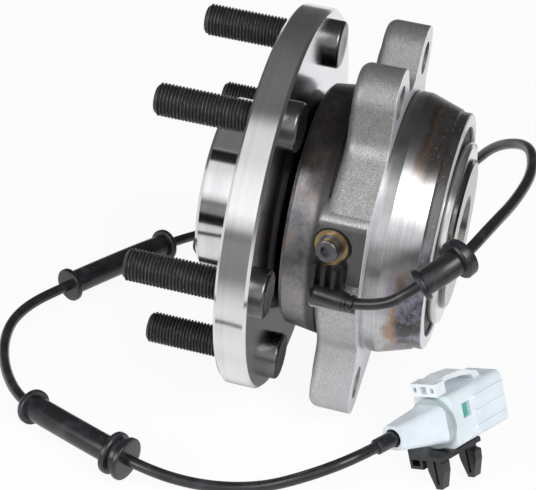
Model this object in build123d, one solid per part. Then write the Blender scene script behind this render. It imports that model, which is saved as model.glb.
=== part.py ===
from build123d import *
import os
from math import cos, degrees, pi, radians, sin, tan

# Front wheel hub unit of a pick-up: flanged outer ring, driven hub, two ball rows,
# and a wheel-speed sensor with its cable, grommets and plug.  Millimetres.
# +Y is the spin axis, pointing outboard; the origin is on it at the wheel face.
# -Y is the knuckle side, the sensor faces -X, +Z is up.
# Angles about the spin axis are in degrees, from +Z towards +X.

# ---- wheel flange, pilot and studs
FLANGE_RIM = 4.65
FLANGE_T = 14.0
FLANGE_EDGE = 1.2
WHEEL_PILOT_R = 38.9
WHEEL_PILOT_L = 22.5
WHEEL_PILOT_LEAD = 1.5
NUT_RECESS_R = 31.0
NUT_RECESS_DEPTH = 18.0
STUD_COUNT = 6
STUD_PCD = 139.7
STUD_R = 7.0
STUD_KNURL_R = 7.4
STUD_L = 42.3
STUD_TIP_L = 2.0
STUD_TIP_R = 5.6
STUD_COLLAR_L = 2.3
THREAD_PITCH = 1.5
THREAD_DEPTH = 0.9
THREAD_CREST = 0.19
STUD_HEAD_R = 10.5
STUD_HEAD_T = 5.5
STUD_HEAD_EDGE = 1.2
STUD_PHASE = 21.2

# ---- splined bore and spindle
SPLINE_TEETH = 28
SPLINE_MAJOR_R = 15.0
SPLINE_MINOR_R = 13.6
BORE_MOUTH_R = 17.5
BORE_MOUTH_L = 5.0
NECK_R = 41.0
NECK_ROOT_R = 52.0
SPINDLE_LAND_R = 33.0
SHOULDER_R = 36.2
RING_BORE_R = 25.0
LIP_R = 33.0
LIP_T = 2.0
LIP_EDGE = 1.0

# ---- outer ring (housing)
NECK_GAP = 5.0
BARREL_R = 53.5
BARREL_FOOT_R = 55.5
BARREL_L = 18.0
BARREL_EDGE = 1.5
GROOVE_W = 2.0
GROOVE_DEPTH = 1.0
PLATE_T = 18.7
PLATE_EDGE = 4.5
KNUCKLE_PILOT_R = 57.5
KNUCKLE_PILOT_L = 6.3
KNUCKLE_UNDERCUT_W = 2.2
KNUCKLE_UNDERCUT_DEPTH = 0.8
TAPER_L = 14.0
TAIL_R = 52.2
TAIL_L = 5.0
TAIL_EDGE = 0.8

# ---- knuckle ears
CORE_R = 62.0
UPPER_BOLT_R = 71.5
LOWER_BOLT_R = 72.5
UPPER_EAR_ANGLE = 21.7
LOWER_EAR_ANGLE = 29.1
KNUCKLE_HOLE_R = 7.25
EAR_R = 14.0
EAR_ROOT_R = 21.0
EAR_ROOT_AT = 46.0
EAR_BLEND = 9.0
SPOTFACE_R = 12.0
SPOTFACE_DEPTH = 0.6

# ---- bearing rows
BALL_R = 7.144
BALL_COUNT = 15
PITCH_R = 39.5
ROW_SETBACK = 13.0
ROW_SPACING = 36.0
GROOVE_CLEARANCE = 0.15
BEARING_LAND_R = 42.0
BEARING_RELIEF_R = 45.2
SEAL_BORE_R = 46.5
SEAL_BORE_L = 6.0
CAGE_IN_R = 37.4
CAGE_OUT_R = 41.4
CAGE_W = 16.8
POCKET_CLEARANCE = 0.3
RING_LAND_L = 6.0
RING_SEAL_R = 40.0
RING_SEAL_L = 7.3
RING_EDGE = 0.5

# ---- seals and tone ring
PRESS_GAP = 0.01
LIP_GAP = 0.15
SEAL_T = 2.6
OUTBOARD_SEAL_RECESS = 0.4
INBOARD_SEAL_RECESS = 1.5
SEAL_WALL = 0.9
NECK_LAND_L = 4.0
TONE_RING_R = 37.6
TONE_RING_W = 7.0
TONE_TEETH = 44
TONE_TOOTH_H = 2.4

# ---- speed sensor: its seat is tilted outboard, so that the probe reaches the tone ring
SEAT_DEPTH = 3.8
SEAT_Y = -42.4
SEAT_Z = 16.0
SENSOR_TILT = 10.0
BOSS_R = 66.8
BOSS_TOP_Z = 29.5
BOSS_BOTTOM_Z = -15.0
BOSS_OUTBOARD_Y = -35.2
BOSS_EDGE = 1.6
BOSS_CORNER = 5.5
BOSS_STEP = 0.5
POCKET_MARGIN = 0.5
PROBE_R = 5.0
PROBE_GAP = 0.9
PROBE_CLEARANCE = 0.1
PROBE_EDGE = 0.8
O_RING_R = 0.9
O_RING_DEPTH = 7.0
BUSH_R = 7.3
BUSH_T = 3.0
BUSH_EAR_WALL = 0.9
SCREW_R = 2.5
SCREW_DEPTH = 14.0
SCREW_END_GAP = 1.0
SCREW_HEAD_R = 4.7
SCREW_HEAD_H = 4.7
SCREW_HEAD_EDGE = 0.5
SCREW_KEY = 4.6
SCREW_KEY_DEPTH = 2.5
SCREW_HOLE_CLEARANCE = 0.15
WASHER_R = 5.6
WASHER_T = 0.9
SENSOR_W = 14.4
SENSOR_DROP = 22.5
BLOCK_CORNER = 4.0
SENSOR_BASE_T = 5.0
SENSOR_RIB_T = 1.8
SENSOR_RIB_H = 3.2
CONDUIT_R = 4.0
CONDUIT_DROP = 20.0
CONDUIT_RISE = 7.2
CONDUIT_END = 10.0
CONDUIT_START = 1.0
BOOT_L = 4.5
BOOT_R = 3.6
BOOT_CRIMP = 0.5

# ---- cable: its route is a list of points chosen by hand
CORD_R = 2.4
CORD_ROUTE = [
    (-72.3, -54.0, -4.0), (-73.7, -67.5, -1.7), (-71.5, -78.5, 8.5), (-61.0, -94.0, 20.5),
    (-38.0, -101.5, 26.0), (-8.0, -107.5, 25.5), (22.0, -110.5, 26.5), (52.0, -105.0, 25.5),
    (78.0, -88.0, 10.5), (92.0, -76.5, -9.0), (104.0, -48.0, -48.0), (111.0, -18.0, -75.0),
    (113.0, 16.0, -82.0), (106.0, 46.0, -80.0), (73.5, 64.5, -76.5), (16.5, 92.0, -76.0),
    (-12.0, 111.0, -81.5), (-46.0, 105.0, -82.5), (-83.5, 83.5, -78.5), (-97.5, 61.0, -75.5),
    (-118.0, 16.0, -74.5), (-115.5, -8.5, -78.5), (-113.5, -32.5, -74.5), (-111.5, -52.0, -64.5),
    (-101.7, -71.7, -55.0), (-80.5, -82.9, -55.0),
]
RUN_SHARE = 0.45

# ---- grommets on the cable, each placed by its distance from the sensor
GROMMET_R = 5.6
GROMMET_DISC_T = 2.6
SHORT_GROMMET_AT = 30.0
SHORT_GROMMET_L = 22.0
SHORT_GROMMET_SMALL_R = 7.2
SHORT_GROMMET_BIG_R = 8.6
SHORT_GROMMET_BIG_T = 4.0
LONG_GROMMET_AT = 417.0
LONG_GROMMET_L = 66.0
LONG_GROMMET_DISC_R = 8.0
BRACKET_GROMMET_AT = 603.0
BRACKET_GROMMET_L = 57.0
BRACKET_GROMMET_DISC_R = 7.8
BRACKET_GROMMET_BIG_R = 9.3
BRACKET_GROOVE_W = 3.4
BRACKET_GROOVE_R = 7.2

# ---- plug at the far end, rolled about its own axis as it lies
PLUG_AXIS = (0.884, -0.467, 0.0)
PLUG_ROLL = 24.0
PLUG_DROP = 3.0
CORD_GRIP = 4.0
SLEEVE_R = 3.3
SLEEVE_L = 14.0
WIRE_SEAL_R = 4.0
WIRE_SEAL_L = 6.5
WIRE_SEAL_INSET = 0.6
COVER_L = 25.0
COVER_W = 10.4
COVER_END_W = 16.5
COVER_CORNER = 3.5
COLLAR_R = 11.0
COLLAR_T = 2.6
PLUG_BODY_L = 35.0
PLUG_BODY_H = 23.0
PLUG_BODY_W = 20.0
PLUG_CORNER = 3.0
PLUG_WALL = 1.8
PLUG_CAVITY_L = 30.0
PLUG_RIB_W = 1.4
PLUG_RIB_PITCH = 6.5
PLUG_RIB_INSET = 1.0
PLUG_RIB_H = 1.0
PLUG_RIB_L = 20.0
WINDOW_L = 5.0
WINDOW_H = 6.5
WINDOW_AT = 9.0
LATCH_W = 9.0
LATCH_HEEL_W = 13.0
LATCH_HEEL_L = 6.5
LATCH_HEEL_H = 5.5
LATCH_HEEL_RISE = 6.5
LATCH_HEEL_BACK = 1.5
LATCH_FOOT_H = 2.0
LATCH_SIDE = [(2.0, 6.5), (10.0, 7.1), (20.0, 5.9), (29.0, 2.4), (30.5, 0.0), (26.0, 0.0),
              (25.0, 1.9), (19.0, 3.7), (10.0, 4.9), (2.0, 4.5)]
LATCH_HOLES = [(-4.6, 1.8, 2.2), (0.0, 3.6, 3.2), (4.6, 1.8, 2.2)]
LATCH_HOLE_DEPTH = 3.0
INSERT_L = 13.0
TERMINAL_W = 2.2
TERMINAL_T = 0.8
TERMINAL_L = 17.0
TERMINAL_PITCH = 6.0
CLIP_T = 2.0
CLIP_W = 18.0
CLIP_L = 26.0
CLIP_START = 17.0
LUG_W = 7.0
LUG_H = 8.5
LUG_L = 8.0
LUG_START = 22.0
LUG_WALL = 1.4
ANCHOR_T = 4.5
ANCHOR_SIDE = [(0.0, 2.2), (2.5, 2.2), (3.2, 4.6), (7.5, 4.2), (15.1, 1.6)]
ANCHOR_SLOT_W = 1.2
ANCHOR_SLOT_L = 10.5
ANCHORS = [(25.0, -1.0), (40.5, 4.0)]

# ---- places along and about the spin axis, worked out from the sizes above
FLANGE_R = STUD_PCD / 2 + STUD_HEAD_R + FLANGE_RIM
FLANGE_BACK = -FLANGE_T
BARREL_FACE = FLANGE_BACK - NECK_GAP
PLATE_FRONT = BARREL_FACE - BARREL_L
PLATE_BACK = PLATE_FRONT - PLATE_T
PILOT_END = PLATE_BACK - KNUCKLE_PILOT_L
TAPER_END = PILOT_END - TAPER_L
TAIL_END = TAPER_END - TAIL_L
OUTBOARD_ROW = BARREL_FACE - ROW_SETBACK
INBOARD_ROW = OUTBOARD_ROW - ROW_SPACING
RING_FRONT = INBOARD_ROW + BALL_R + GROOVE_CLEARANCE + RING_LAND_L / 2
RING_BACK = TAIL_END - 3.5
SEAL_STEP_OUT = BARREL_FACE - SEAL_BORE_L
SEAL_STEP_IN = TAIL_END + SEAL_BORE_L
TONE_Y = (OUTBOARD_ROW + INBOARD_ROW) / 2
GROOVE_R = BALL_R + GROOVE_CLEARANCE
STUD_PITCH_R = STUD_PCD / 2
SEAT_R = BOSS_R - SEAT_DEPTH
EARS = ((UPPER_BOLT_R, -UPPER_EAR_ANGLE), (UPPER_BOLT_R, UPPER_EAR_ANGLE),
        (LOWER_BOLT_R, 180 - LOWER_EAR_ANGLE), (LOWER_BOLT_R, 180 + LOWER_EAR_ANGLE))


def across(y):
    """Plane across the spin axis: local x is +Z, local y is +X, the normal is +Y."""
    return Plane(origin=(0, y, 0), x_dir=(0, 0, 1), z_dir=(0, 1, 0))


def turned(*corners):
    """Solid turned about the spin axis from (radius, y) corners."""
    return revolve(make_face(Polyline(*corners, close=True)), Axis.Y)


def ring(inner, outer, y, width):
    """Plain ring about the spin axis, from y towards inboard."""
    return turned((inner, y), (outer, y), (outer, y - width), (inner, y - width))


def polar(radius, angle):
    """Local (x, y) of a point on an across() plane."""
    return radius * cos(radians(angle)), radius * sin(radians(angle))


def raceway(row):
    """Torus that cuts one row's groove in whatever it meets."""
    return Pos(0, row, 0) * Rot(90, 0, 0) * Torus(PITCH_R, GROOVE_R)


def sensor_seat():
    """Seat of the sensor screw: local x is up, local y outboard, the normal faces out."""
    tilt = radians(SENSOR_TILT)
    return Plane(origin=(-SEAT_R, SEAT_Y, SEAT_Z), x_dir=(0, 0, 1), z_dir=(-cos(tilt), sin(tilt), 0))


def plug_frame():
    """Frame of the plug: local z runs along it from the cable's entry, local x is upwards."""
    axis = Vector(*PLUG_AXIS).normalized()
    side = Vector(axis.Y, -axis.X, 0)
    roll = radians(PLUG_ROLL)
    upper = Vector(0, 0, 1) * cos(roll) - side * sin(roll)
    entry = Vector(*CORD_ROUTE[-1]) - axis * CORD_GRIP
    return Plane(origin=entry, x_dir=upper, z_dir=axis)


# ---------------------------------------------------------------- outer ring
def ear_outline():
    """Outline of the mounting plate: core disc, four ears, lower keel and the sensor's pad."""
    outline = Circle(CORE_R)
    pad = [Pos(height, BOSS_CORNER - BOSS_R) * Circle(BOSS_CORNER - BOSS_STEP)
           for height in (BOSS_TOP_Z - BOSS_CORNER, BOSS_BOTTOM_Z + BOSS_CORNER)]
    outline += make_hull(outline.edges() + pad[0].edges() + pad[1].edges())
    keel = Pos(EAR_ROOT_R - CORE_R, 0) * Circle(EAR_ROOT_R)
    for bolt_r, angle in EARS:
        lobe = Pos(*polar(bolt_r, angle)) * Circle(EAR_R)
        root = Pos(*polar(EAR_ROOT_AT, angle)) * Circle(EAR_ROOT_R)
        outline += make_hull(lobe.edges() + root.edges())
        if cos(radians(angle)) < 0:
            outline += make_hull(lobe.edges() + keel.edges())
    return offset(offset(outline, EAR_BLEND), -EAR_BLEND)


def sensor_boss():
    """Boss of the sensor: a flat pad with rounded corners that stands out of the plate."""
    length = BOSS_OUTBOARD_Y - PLATE_BACK
    height = BOSS_TOP_Z - BOSS_BOTTOM_Z
    depth = BOSS_R - PITCH_R
    block = Box(depth, length, height)
    block = fillet(block.edges().filter_by(Axis.Y).group_by(Axis.X)[0], BOSS_CORNER)
    block = fillet(block.faces().sort_by(Axis.Y)[-1].outer_wire().edges(), BOSS_EDGE)
    middle = (-BOSS_R + depth / 2, PLATE_BACK + length / 2, BOSS_BOTTOM_Z + height / 2)
    return Pos(*middle) * block


def sensor_pocket():
    """Spot-faced pocket in the boss for the sensor, with a way out for its cable."""
    radius = BUSH_R + BUSH_EAR_WALL + POCKET_MARGIN
    depth = BOSS_R - SEAT_R + SENSOR_W
    slot = Circle(radius) + Pos(-SEAT_Z, 0) * Circle(radius)
    slot += Pos(-SEAT_Z / 2, 0) * Rectangle(SEAT_Z, 2 * radius)
    way_out = 2 * (CONDUIT_R + POCKET_MARGIN)
    slot += Pos(-CONDUIT_DROP, -radius) * Rectangle(way_out, 2 * radius)
    return extrude(sensor_seat() * slot, depth)


def housing():
    """Outer ring: barrel, ear plate, knuckle pilot, bearing bores and sensor boss."""
    groove_top = PLATE_FRONT + GROOVE_W
    undercut = KNUCKLE_PILOT_R - KNUCKLE_UNDERCUT_DEPTH
    body = turned(
        (SEAL_BORE_R, BARREL_FACE), (BARREL_R - BARREL_EDGE, BARREL_FACE),
        (BARREL_R, BARREL_FACE - BARREL_EDGE), (BARREL_FOOT_R, groove_top),
        (BARREL_FOOT_R - GROOVE_DEPTH, groove_top), (BARREL_FOOT_R - GROOVE_DEPTH, PLATE_FRONT),
        (undercut, PLATE_FRONT), (undercut, PLATE_BACK - KNUCKLE_UNDERCUT_W),
        (KNUCKLE_PILOT_R, PLATE_BACK - KNUCKLE_UNDERCUT_W), (KNUCKLE_PILOT_R, PILOT_END),
        (TAIL_R + TAIL_EDGE, TAPER_END), (TAIL_R, TAPER_END - TAIL_EDGE),
        (TAIL_R, TAIL_END + TAIL_EDGE), (TAIL_R - TAIL_EDGE, TAIL_END),
        (SEAL_BORE_R, TAIL_END), (SEAL_BORE_R, SEAL_STEP_IN), (BEARING_RELIEF_R, SEAL_STEP_IN),
        (BEARING_RELIEF_R, INBOARD_ROW), (BEARING_LAND_R, INBOARD_ROW + GROOVE_R / 2),
        (BEARING_LAND_R, OUTBOARD_ROW - GROOVE_R / 2), (BEARING_RELIEF_R, OUTBOARD_ROW),
        (BEARING_RELIEF_R, SEAL_STEP_OUT), (SEAL_BORE_R, SEAL_STEP_OUT))
    plate = extrude(across(PLATE_BACK) * ear_outline(), PLATE_T)
    plate = fillet(plate.faces().sort_by(Axis.Y)[-1].outer_wire().edges(), PLATE_EDGE)
    plate -= ring(0, SEAL_BORE_R, PLATE_FRONT, PLATE_T)
    body += plate
    body += sensor_boss() - ring(0, SEAL_BORE_R, BOSS_OUTBOARD_Y, BOSS_OUTBOARD_Y - PLATE_BACK)
    for bolt_r, angle in EARS:
        x, y = polar(bolt_r, angle)
        body -= extrude(across(PLATE_BACK) * Pos(x, y) * Circle(KNUCKLE_HOLE_R), PLATE_T)
        body -= extrude(across(PLATE_FRONT - SPOTFACE_DEPTH) * Pos(x, y) * Circle(SPOTFACE_R),
                        SPOTFACE_DEPTH)
    body -= raceway(OUTBOARD_ROW)
    body -= raceway(INBOARD_ROW)
    body -= sensor_pocket()
    probe_at = Pos(-SEAT_Z, 0)
    body -= extrude(sensor_seat() * probe_at * Circle(PROBE_R + PROBE_CLEARANCE),
                    -(SEAT_R - TONE_RING_R))
    screw_hole = SCREW_R + SCREW_HOLE_CLEARANCE
    body -= extrude(sensor_seat() * Circle(screw_hole), -SCREW_DEPTH)
    return body


# ---------------------------------------------------------------- rotating side
def spline_outline():
    """Outline of the splined bore, with flat-topped teeth."""
    corners = []
    for tooth in range(SPLINE_TEETH):
        middle = 360 / SPLINE_TEETH * tooth
        for share, radius in ((-0.32, SPLINE_MINOR_R), (-0.16, SPLINE_MAJOR_R),
                              (0.16, SPLINE_MAJOR_R), (0.32, SPLINE_MINOR_R)):
            corners.append(polar(radius, middle + share * 360 / SPLINE_TEETH))
    return make_face(Polyline(*corners, close=True))


def hub():
    """Wheel flange, pilot and spindle in one piece, with the formed lip at its end."""
    recess_end = WHEEL_PILOT_L - NUT_RECESS_DEPTH
    lip_end = RING_BACK - LIP_T
    body = turned(
        (0, WHEEL_PILOT_L), (WHEEL_PILOT_R - WHEEL_PILOT_LEAD, WHEEL_PILOT_L),
        (WHEEL_PILOT_R, WHEEL_PILOT_L - WHEEL_PILOT_LEAD), (WHEEL_PILOT_R, 0),
        (FLANGE_R - FLANGE_EDGE, 0), (FLANGE_R, -FLANGE_EDGE),
        (FLANGE_R, FLANGE_BACK + FLANGE_EDGE), (FLANGE_R - FLANGE_EDGE, FLANGE_BACK),
        (NECK_ROOT_R, FLANGE_BACK), (NECK_R, BARREL_FACE), (NECK_R, BARREL_FACE - NECK_LAND_L),
        (SHOULDER_R, BARREL_FACE - NECK_LAND_L), (SHOULDER_R, OUTBOARD_ROW + GROOVE_R / 2),
        (SPINDLE_LAND_R, OUTBOARD_ROW - GROOVE_R / 2), (SPINDLE_LAND_R, RING_FRONT),
        (RING_BORE_R, RING_FRONT), (RING_BORE_R, RING_BACK), (LIP_R, RING_BACK),
        (LIP_R, lip_end + LIP_EDGE), (LIP_R - LIP_EDGE, lip_end), (0, lip_end))
    body -= ring(0, NUT_RECESS_R, WHEEL_PILOT_L, NUT_RECESS_DEPTH)
    body -= turned((0, lip_end), (BORE_MOUTH_R, lip_end),
                   (SPLINE_MAJOR_R, lip_end + BORE_MOUTH_L), (0, lip_end + BORE_MOUTH_L))
    body -= raceway(OUTBOARD_ROW)
    body -= extrude(across(lip_end) * spline_outline(), recess_end - lip_end)
    for angle in stud_angles():
        x, y = polar(STUD_PITCH_R, angle)
        body -= extrude(across(FLANGE_BACK) * Pos(x, y) * Circle(STUD_KNURL_R + PRESS_GAP), FLANGE_T)
    return body


def stud_angles():
    """Angles of the wheel studs about the spin axis."""
    return [STUD_PHASE + 360 / STUD_COUNT * k for k in range(STUD_COUNT)]


def wheel_studs():
    """Pressed-in wheel studs: round head, wider seat in the flange and a grooved thread."""
    head = STUD_HEAD_R - STUD_HEAD_EDGE
    thread_end = STUD_L - STUD_TIP_L
    turns = int((thread_end - STUD_COLLAR_L) / THREAD_PITCH)
    root = STUD_R - THREAD_DEPTH
    corners = [(0, FLANGE_BACK - STUD_HEAD_T), (head, FLANGE_BACK - STUD_HEAD_T),
               (STUD_HEAD_R, FLANGE_BACK - STUD_HEAD_T + STUD_HEAD_EDGE),
               (STUD_HEAD_R, FLANGE_BACK), (STUD_KNURL_R, FLANGE_BACK), (STUD_KNURL_R, 0),
               (STUD_R, 0)]
    for turn in range(turns):
        start = thread_end - (turns - turn) * THREAD_PITCH
        corners += [(STUD_R, start), (root, start + (THREAD_PITCH - THREAD_CREST) / 2),
                    (STUD_R, start + THREAD_PITCH - THREAD_CREST)]
    corners += [(STUD_R, thread_end), (STUD_TIP_R, STUD_L), (0, STUD_L)]
    stud = turned(*corners)
    return [Pos(STUD_PITCH_R * sin(radians(angle)), 0, STUD_PITCH_R * cos(radians(angle))) * stud
            for angle in stud_angles()]


def inner_ring():
    """Separate inner ring of the inboard row, held by the formed lip."""
    bore = RING_BORE_R + PRESS_GAP
    seal_land = RING_BACK + RING_SEAL_L
    body = turned(
        (bore, RING_FRONT), (SPINDLE_LAND_R, RING_FRONT),
        (SPINDLE_LAND_R, INBOARD_ROW + GROOVE_R / 2), (SHOULDER_R, INBOARD_ROW - GROOVE_R / 2),
        (SHOULDER_R, seal_land), (RING_SEAL_R, seal_land),
        (RING_SEAL_R, RING_BACK + RING_EDGE), (RING_SEAL_R - RING_EDGE, RING_BACK),
        (bore, RING_BACK))
    return body - raceway(INBOARD_ROW)


def ball_centres(row):
    """Centres of one row's balls."""
    step = 2 * pi / BALL_COUNT
    return [(PITCH_R * sin(step * k), row, PITCH_R * cos(step * k)) for k in range(BALL_COUNT)]


def balls(row):
    """One row of balls."""
    return [Pos(*centre) * Sphere(BALL_R) for centre in ball_centres(row)]


def cage(row):
    """Moulded cage of one row, with a round pocket for each ball."""
    body = ring(CAGE_IN_R, CAGE_OUT_R, row + CAGE_W / 2, CAGE_W)
    for x, y, z in ball_centres(row):
        outward = Plane(origin=(0, y, 0), x_dir=(0, 1, 0), z_dir=(x, 0, z))
        body -= extrude(outward * Circle(BALL_R + POCKET_CLEARANCE), CAGE_OUT_R + 1)
    return body


def tone_ring():
    """Toothed ring on the spindle that the sensor reads."""
    front = TONE_Y + TONE_RING_W / 2
    body = ring(SPINDLE_LAND_R + PRESS_GAP, TONE_RING_R, front, TONE_RING_W)
    gap = pi * TONE_RING_R / TONE_TEETH
    slot = Rectangle(TONE_TOOTH_H * 2, gap)
    slots = Sketch() + [Rot(0, 0, 360 / TONE_TEETH * k) * Pos(TONE_RING_R, 0) * slot
                        for k in range(TONE_TEETH)]
    return body - extrude(across(front - TONE_RING_W) * slots, TONE_RING_W)


def seal(face, shaft_r, inward):
    """Lip seal pressed into the housing; inward is the sign of the way into the bearing."""
    outer = SEAL_BORE_R - PRESS_GAP
    lip = shaft_r + LIP_GAP
    back = face + inward * SEAL_T
    wall = inward * SEAL_WALL
    return turned((outer, face), (lip, face), (lip, face + wall), (lip + SEAL_WALL, back),
                  (lip + 2 * SEAL_WALL, back), (lip + 2 * SEAL_WALL, face + wall),
                  (outer - SEAL_WALL, face + wall), (outer - SEAL_WALL, back), (outer, back))


# ---------------------------------------------------------------- speed sensor
def sensor_body():
    """Moulded sensor head: ear round the bush, ribbed block and the cable's conduit."""
    ear = extrude(Circle(BUSH_R + BUSH_EAR_WALL), BUSH_T)
    block_l = SENSOR_DROP - SCREW_HEAD_R
    block = RectangleRounded(block_l, SENSOR_W, BLOCK_CORNER)
    body = ear + extrude(Pos(-SCREW_HEAD_R - block_l / 2, 0) * block, SENSOR_BASE_T)
    rib_l = CONDUIT_DROP - BUSH_R
    for side in (-1, 0, 1):
        place = Pos(-BUSH_R - rib_l / 2, side * (SENSOR_W - 3 * SENSOR_RIB_T) / 2)
        body += extrude(place * Rectangle(rib_l, SENSOR_RIB_T), SENSOR_BASE_T + SENSOR_RIB_H)
    conduit = Plane(origin=(-CONDUIT_DROP, CONDUIT_START, CONDUIT_RISE), z_dir=(0, -1, 0))
    body += extrude(conduit * Circle(CONDUIT_R), CONDUIT_START + CONDUIT_END)
    body += Pos(*conduit.origin) * Sphere(CONDUIT_R)
    body -= extrude(Circle(BUSH_R + PRESS_GAP), 4 * BUSH_T)
    return sensor_seat() * body


def o_ring_r():
    """Radius of the O-ring's centre line, so that it meets the wall of the probe's hole."""
    return PROBE_R + PROBE_CLEARANCE + PRESS_GAP - O_RING_R


def sensor_probe():
    """Probe of the sensor, from its head through the housing to the tone ring."""
    length = (SEAT_R - TONE_RING_R - PROBE_GAP) / cos(radians(SENSOR_TILT))
    probe = extrude(Circle(PROBE_R), -length)
    probe = fillet(probe.faces().sort_by(Axis.Z)[0].edges(), PROBE_EDGE)
    probe -= Pos(0, 0, -O_RING_DEPTH) * Torus(o_ring_r(), O_RING_R)
    return sensor_seat() * Pos(-SEAT_Z, 0, 0) * probe


def sensor_o_ring():
    """O-ring in the probe's groove."""
    return sensor_seat() * Pos(-SEAT_Z, 0, -O_RING_DEPTH) * Torus(o_ring_r(), O_RING_R - PRESS_GAP)


def sensor_bush():
    """Brass bush that carries the screw's clamp load."""
    hole = SCREW_R + SCREW_HOLE_CLEARANCE
    return sensor_seat() * extrude(Circle(BUSH_R) - Circle(hole), BUSH_T)


def sensor_washer():
    """Washer under the screw's head."""
    hole = SCREW_R + SCREW_HOLE_CLEARANCE
    return sensor_seat() * Pos(0, 0, BUSH_T) * extrude(Circle(WASHER_R) - Circle(hole), WASHER_T)


def sensor_screw():
    """Socket-head screw of the sensor."""
    stack = BUSH_T + WASHER_T
    head = extrude(Circle(SCREW_HEAD_R), SCREW_HEAD_H)
    head = fillet(head.faces().sort_by(Axis.Z)[-1].edges(), SCREW_HEAD_EDGE)
    key = RegularPolygon(SCREW_KEY / 2, 6, major_radius=False)
    head -= Pos(0, 0, SCREW_HEAD_H - SCREW_KEY_DEPTH) * extrude(key, SCREW_KEY_DEPTH)
    shank = extrude(Circle(SCREW_R), -(stack + SCREW_DEPTH - SCREW_END_GAP))
    return sensor_seat() * Pos(0, 0, stack) * (head + shank)


def cable_boot(cord):
    """Crimped boot where the cable leaves the sensor head."""
    third = BOOT_L / 3
    boot = extrude(Circle(BOOT_R), BOOT_L)
    boot -= Pos(0, 0, third) * extrude(Circle(BOOT_R + 1) - Circle(BOOT_R - BOOT_CRIMP), third)
    start = Plane(origin=(-CONDUIT_DROP, -CONDUIT_END, CONDUIT_RISE), z_dir=(0, -1, 0))
    return sensor_seat() * start.location * boot - cord


# ---------------------------------------------------------------- cable
def cord_path():
    """Line of the cable: its straight runs joined by arcs as large as they allow."""
    points = [Vector(*point) for point in CORD_ROUTE]
    radii = []
    for before, corner, after in zip(points, points[1:], points[2:]):
        arriving = corner - before
        leaving = after - corner
        turn = radians(arriving.get_angle(leaving))
        radii.append(RUN_SHARE * min(arriving.length, leaving.length) / tan(turn / 2))
    print("cable radii", [round(radius) for radius in radii])
    return FilletPolyline(*points, radius=radii)


def along(path, distance):
    """Plane across the path at a distance from its start, its normal along the path."""
    share = distance / path.length
    return Plane(origin=path @ share, z_dir=path % share)


def stretch(path, start, length, radius):
    """Solid of a round section that follows part of the path."""
    part = path.trim(start / path.length, (start + length) / path.length)
    return sweep(along(path, start) * Circle(radius), path=part)


def disc(path, start, radius, thickness):
    """Short round flange square to the path."""
    return extrude(along(path, start) * Circle(radius), thickness)


def grommet(path, start, length, discs):
    """Rubber sleeve on the cable; discs gives (offset, radius, thickness) of each flange."""
    body = stretch(path, start, length, GROMMET_R)
    for offset_along, radius, thickness in discs:
        body += disc(path, start + offset_along, radius, thickness)
    return body - stretch(path, start - 1, length + 2, CORD_R)


# ---------------------------------------------------------------- plug
def plug_cover():
    """Tapered rear cover of the plug, with the cable's seal in its mouth."""
    mouth = RectangleRounded(COVER_W, COVER_W, COVER_CORNER)
    end = RectangleRounded(COVER_END_W, COVER_END_W, COVER_CORNER)
    body = loft([mouth.face(), (Pos(-PLUG_DROP, 0, COVER_L) * end).face()])
    return body - extrude(Circle(WIRE_SEAL_R), WIRE_SEAL_L)


def plug_wire_seal():
    """Rubber seal round the cable in the cover's mouth."""
    return Pos(0, 0, WIRE_SEAL_INSET) * extrude(Circle(WIRE_SEAL_R), WIRE_SEAL_L - WIRE_SEAL_INSET)


def plug_collar():
    """Round collar between the cover and the body."""
    return Pos(-PLUG_DROP, 0, COVER_L) * extrude(Circle(COLLAR_R), COLLAR_T)


def plug_cavity(margin, length):
    """Block of the cavity's section, from the cavity's floor towards the open end."""
    wall = 2 * PLUG_WALL + 2 * margin
    section = RectangleRounded(PLUG_BODY_H - wall, PLUG_BODY_W - wall, PLUG_CORNER - PLUG_WALL)
    start = COVER_L + COLLAR_T + PLUG_BODY_L - PLUG_CAVITY_L
    return Pos(-PLUG_DROP, 0, start) * extrude(section, length)


def plug_body():
    """Body of the plug: open at its mating end, with ribs and a window on its sides."""
    start = COVER_L + COLLAR_T
    section = RectangleRounded(PLUG_BODY_H, PLUG_BODY_W, PLUG_CORNER)
    body = Pos(-PLUG_DROP, 0, start) * extrude(section, PLUG_BODY_L)
    rib = Box(PLUG_RIB_W, PLUG_BODY_W + 2 * PLUG_RIB_H, PLUG_RIB_L)
    for height in (-PLUG_RIB_PITCH, 0, PLUG_RIB_PITCH):
        body += Pos(height - PLUG_DROP, 0, start + PLUG_BODY_L - PLUG_RIB_L / 2 - PLUG_RIB_INSET) * rib
    body -= plug_cavity(0, PLUG_CAVITY_L)
    window = Box(WINDOW_H, PLUG_BODY_W, WINDOW_L)
    return body - Pos(0, PLUG_BODY_W / 2, start + WINDOW_AT) * window


def plug_latch():
    """Latch lever over the body, with a broad heel that has three moulded holes."""
    top = PLUG_BODY_H / 2 - PLUG_DROP
    start = COVER_L
    side = Plane(origin=(top, -LATCH_W / 2, start), x_dir=(0, 0, 1), z_dir=(0, 1, 0))
    arm = extrude(side * make_face(Polyline(*LATCH_SIDE, close=True)), LATCH_W)
    heel = Box(LATCH_HEEL_H, LATCH_HEEL_W, LATCH_HEEL_L)
    rise = top + LATCH_HEEL_RISE - LATCH_HEEL_H / 2
    arm += Pos(rise, 0, start + LATCH_HEEL_L / 2 - LATCH_HEEL_BACK) * heel
    foot_l = LATCH_HEEL_L - COLLAR_T - LATCH_HEEL_BACK
    foot = Box(LATCH_FOOT_H, LATCH_W, foot_l)
    arm += Pos(top + LATCH_FOOT_H / 2, 0, start + COLLAR_T + foot_l / 2) * foot
    for across_at, width, height in LATCH_HOLES:
        hole = Box(height, width, 2 * LATCH_HOLE_DEPTH)
        arm -= Pos(rise, across_at, start - LATCH_HEEL_BACK) * hole
    return arm


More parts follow.
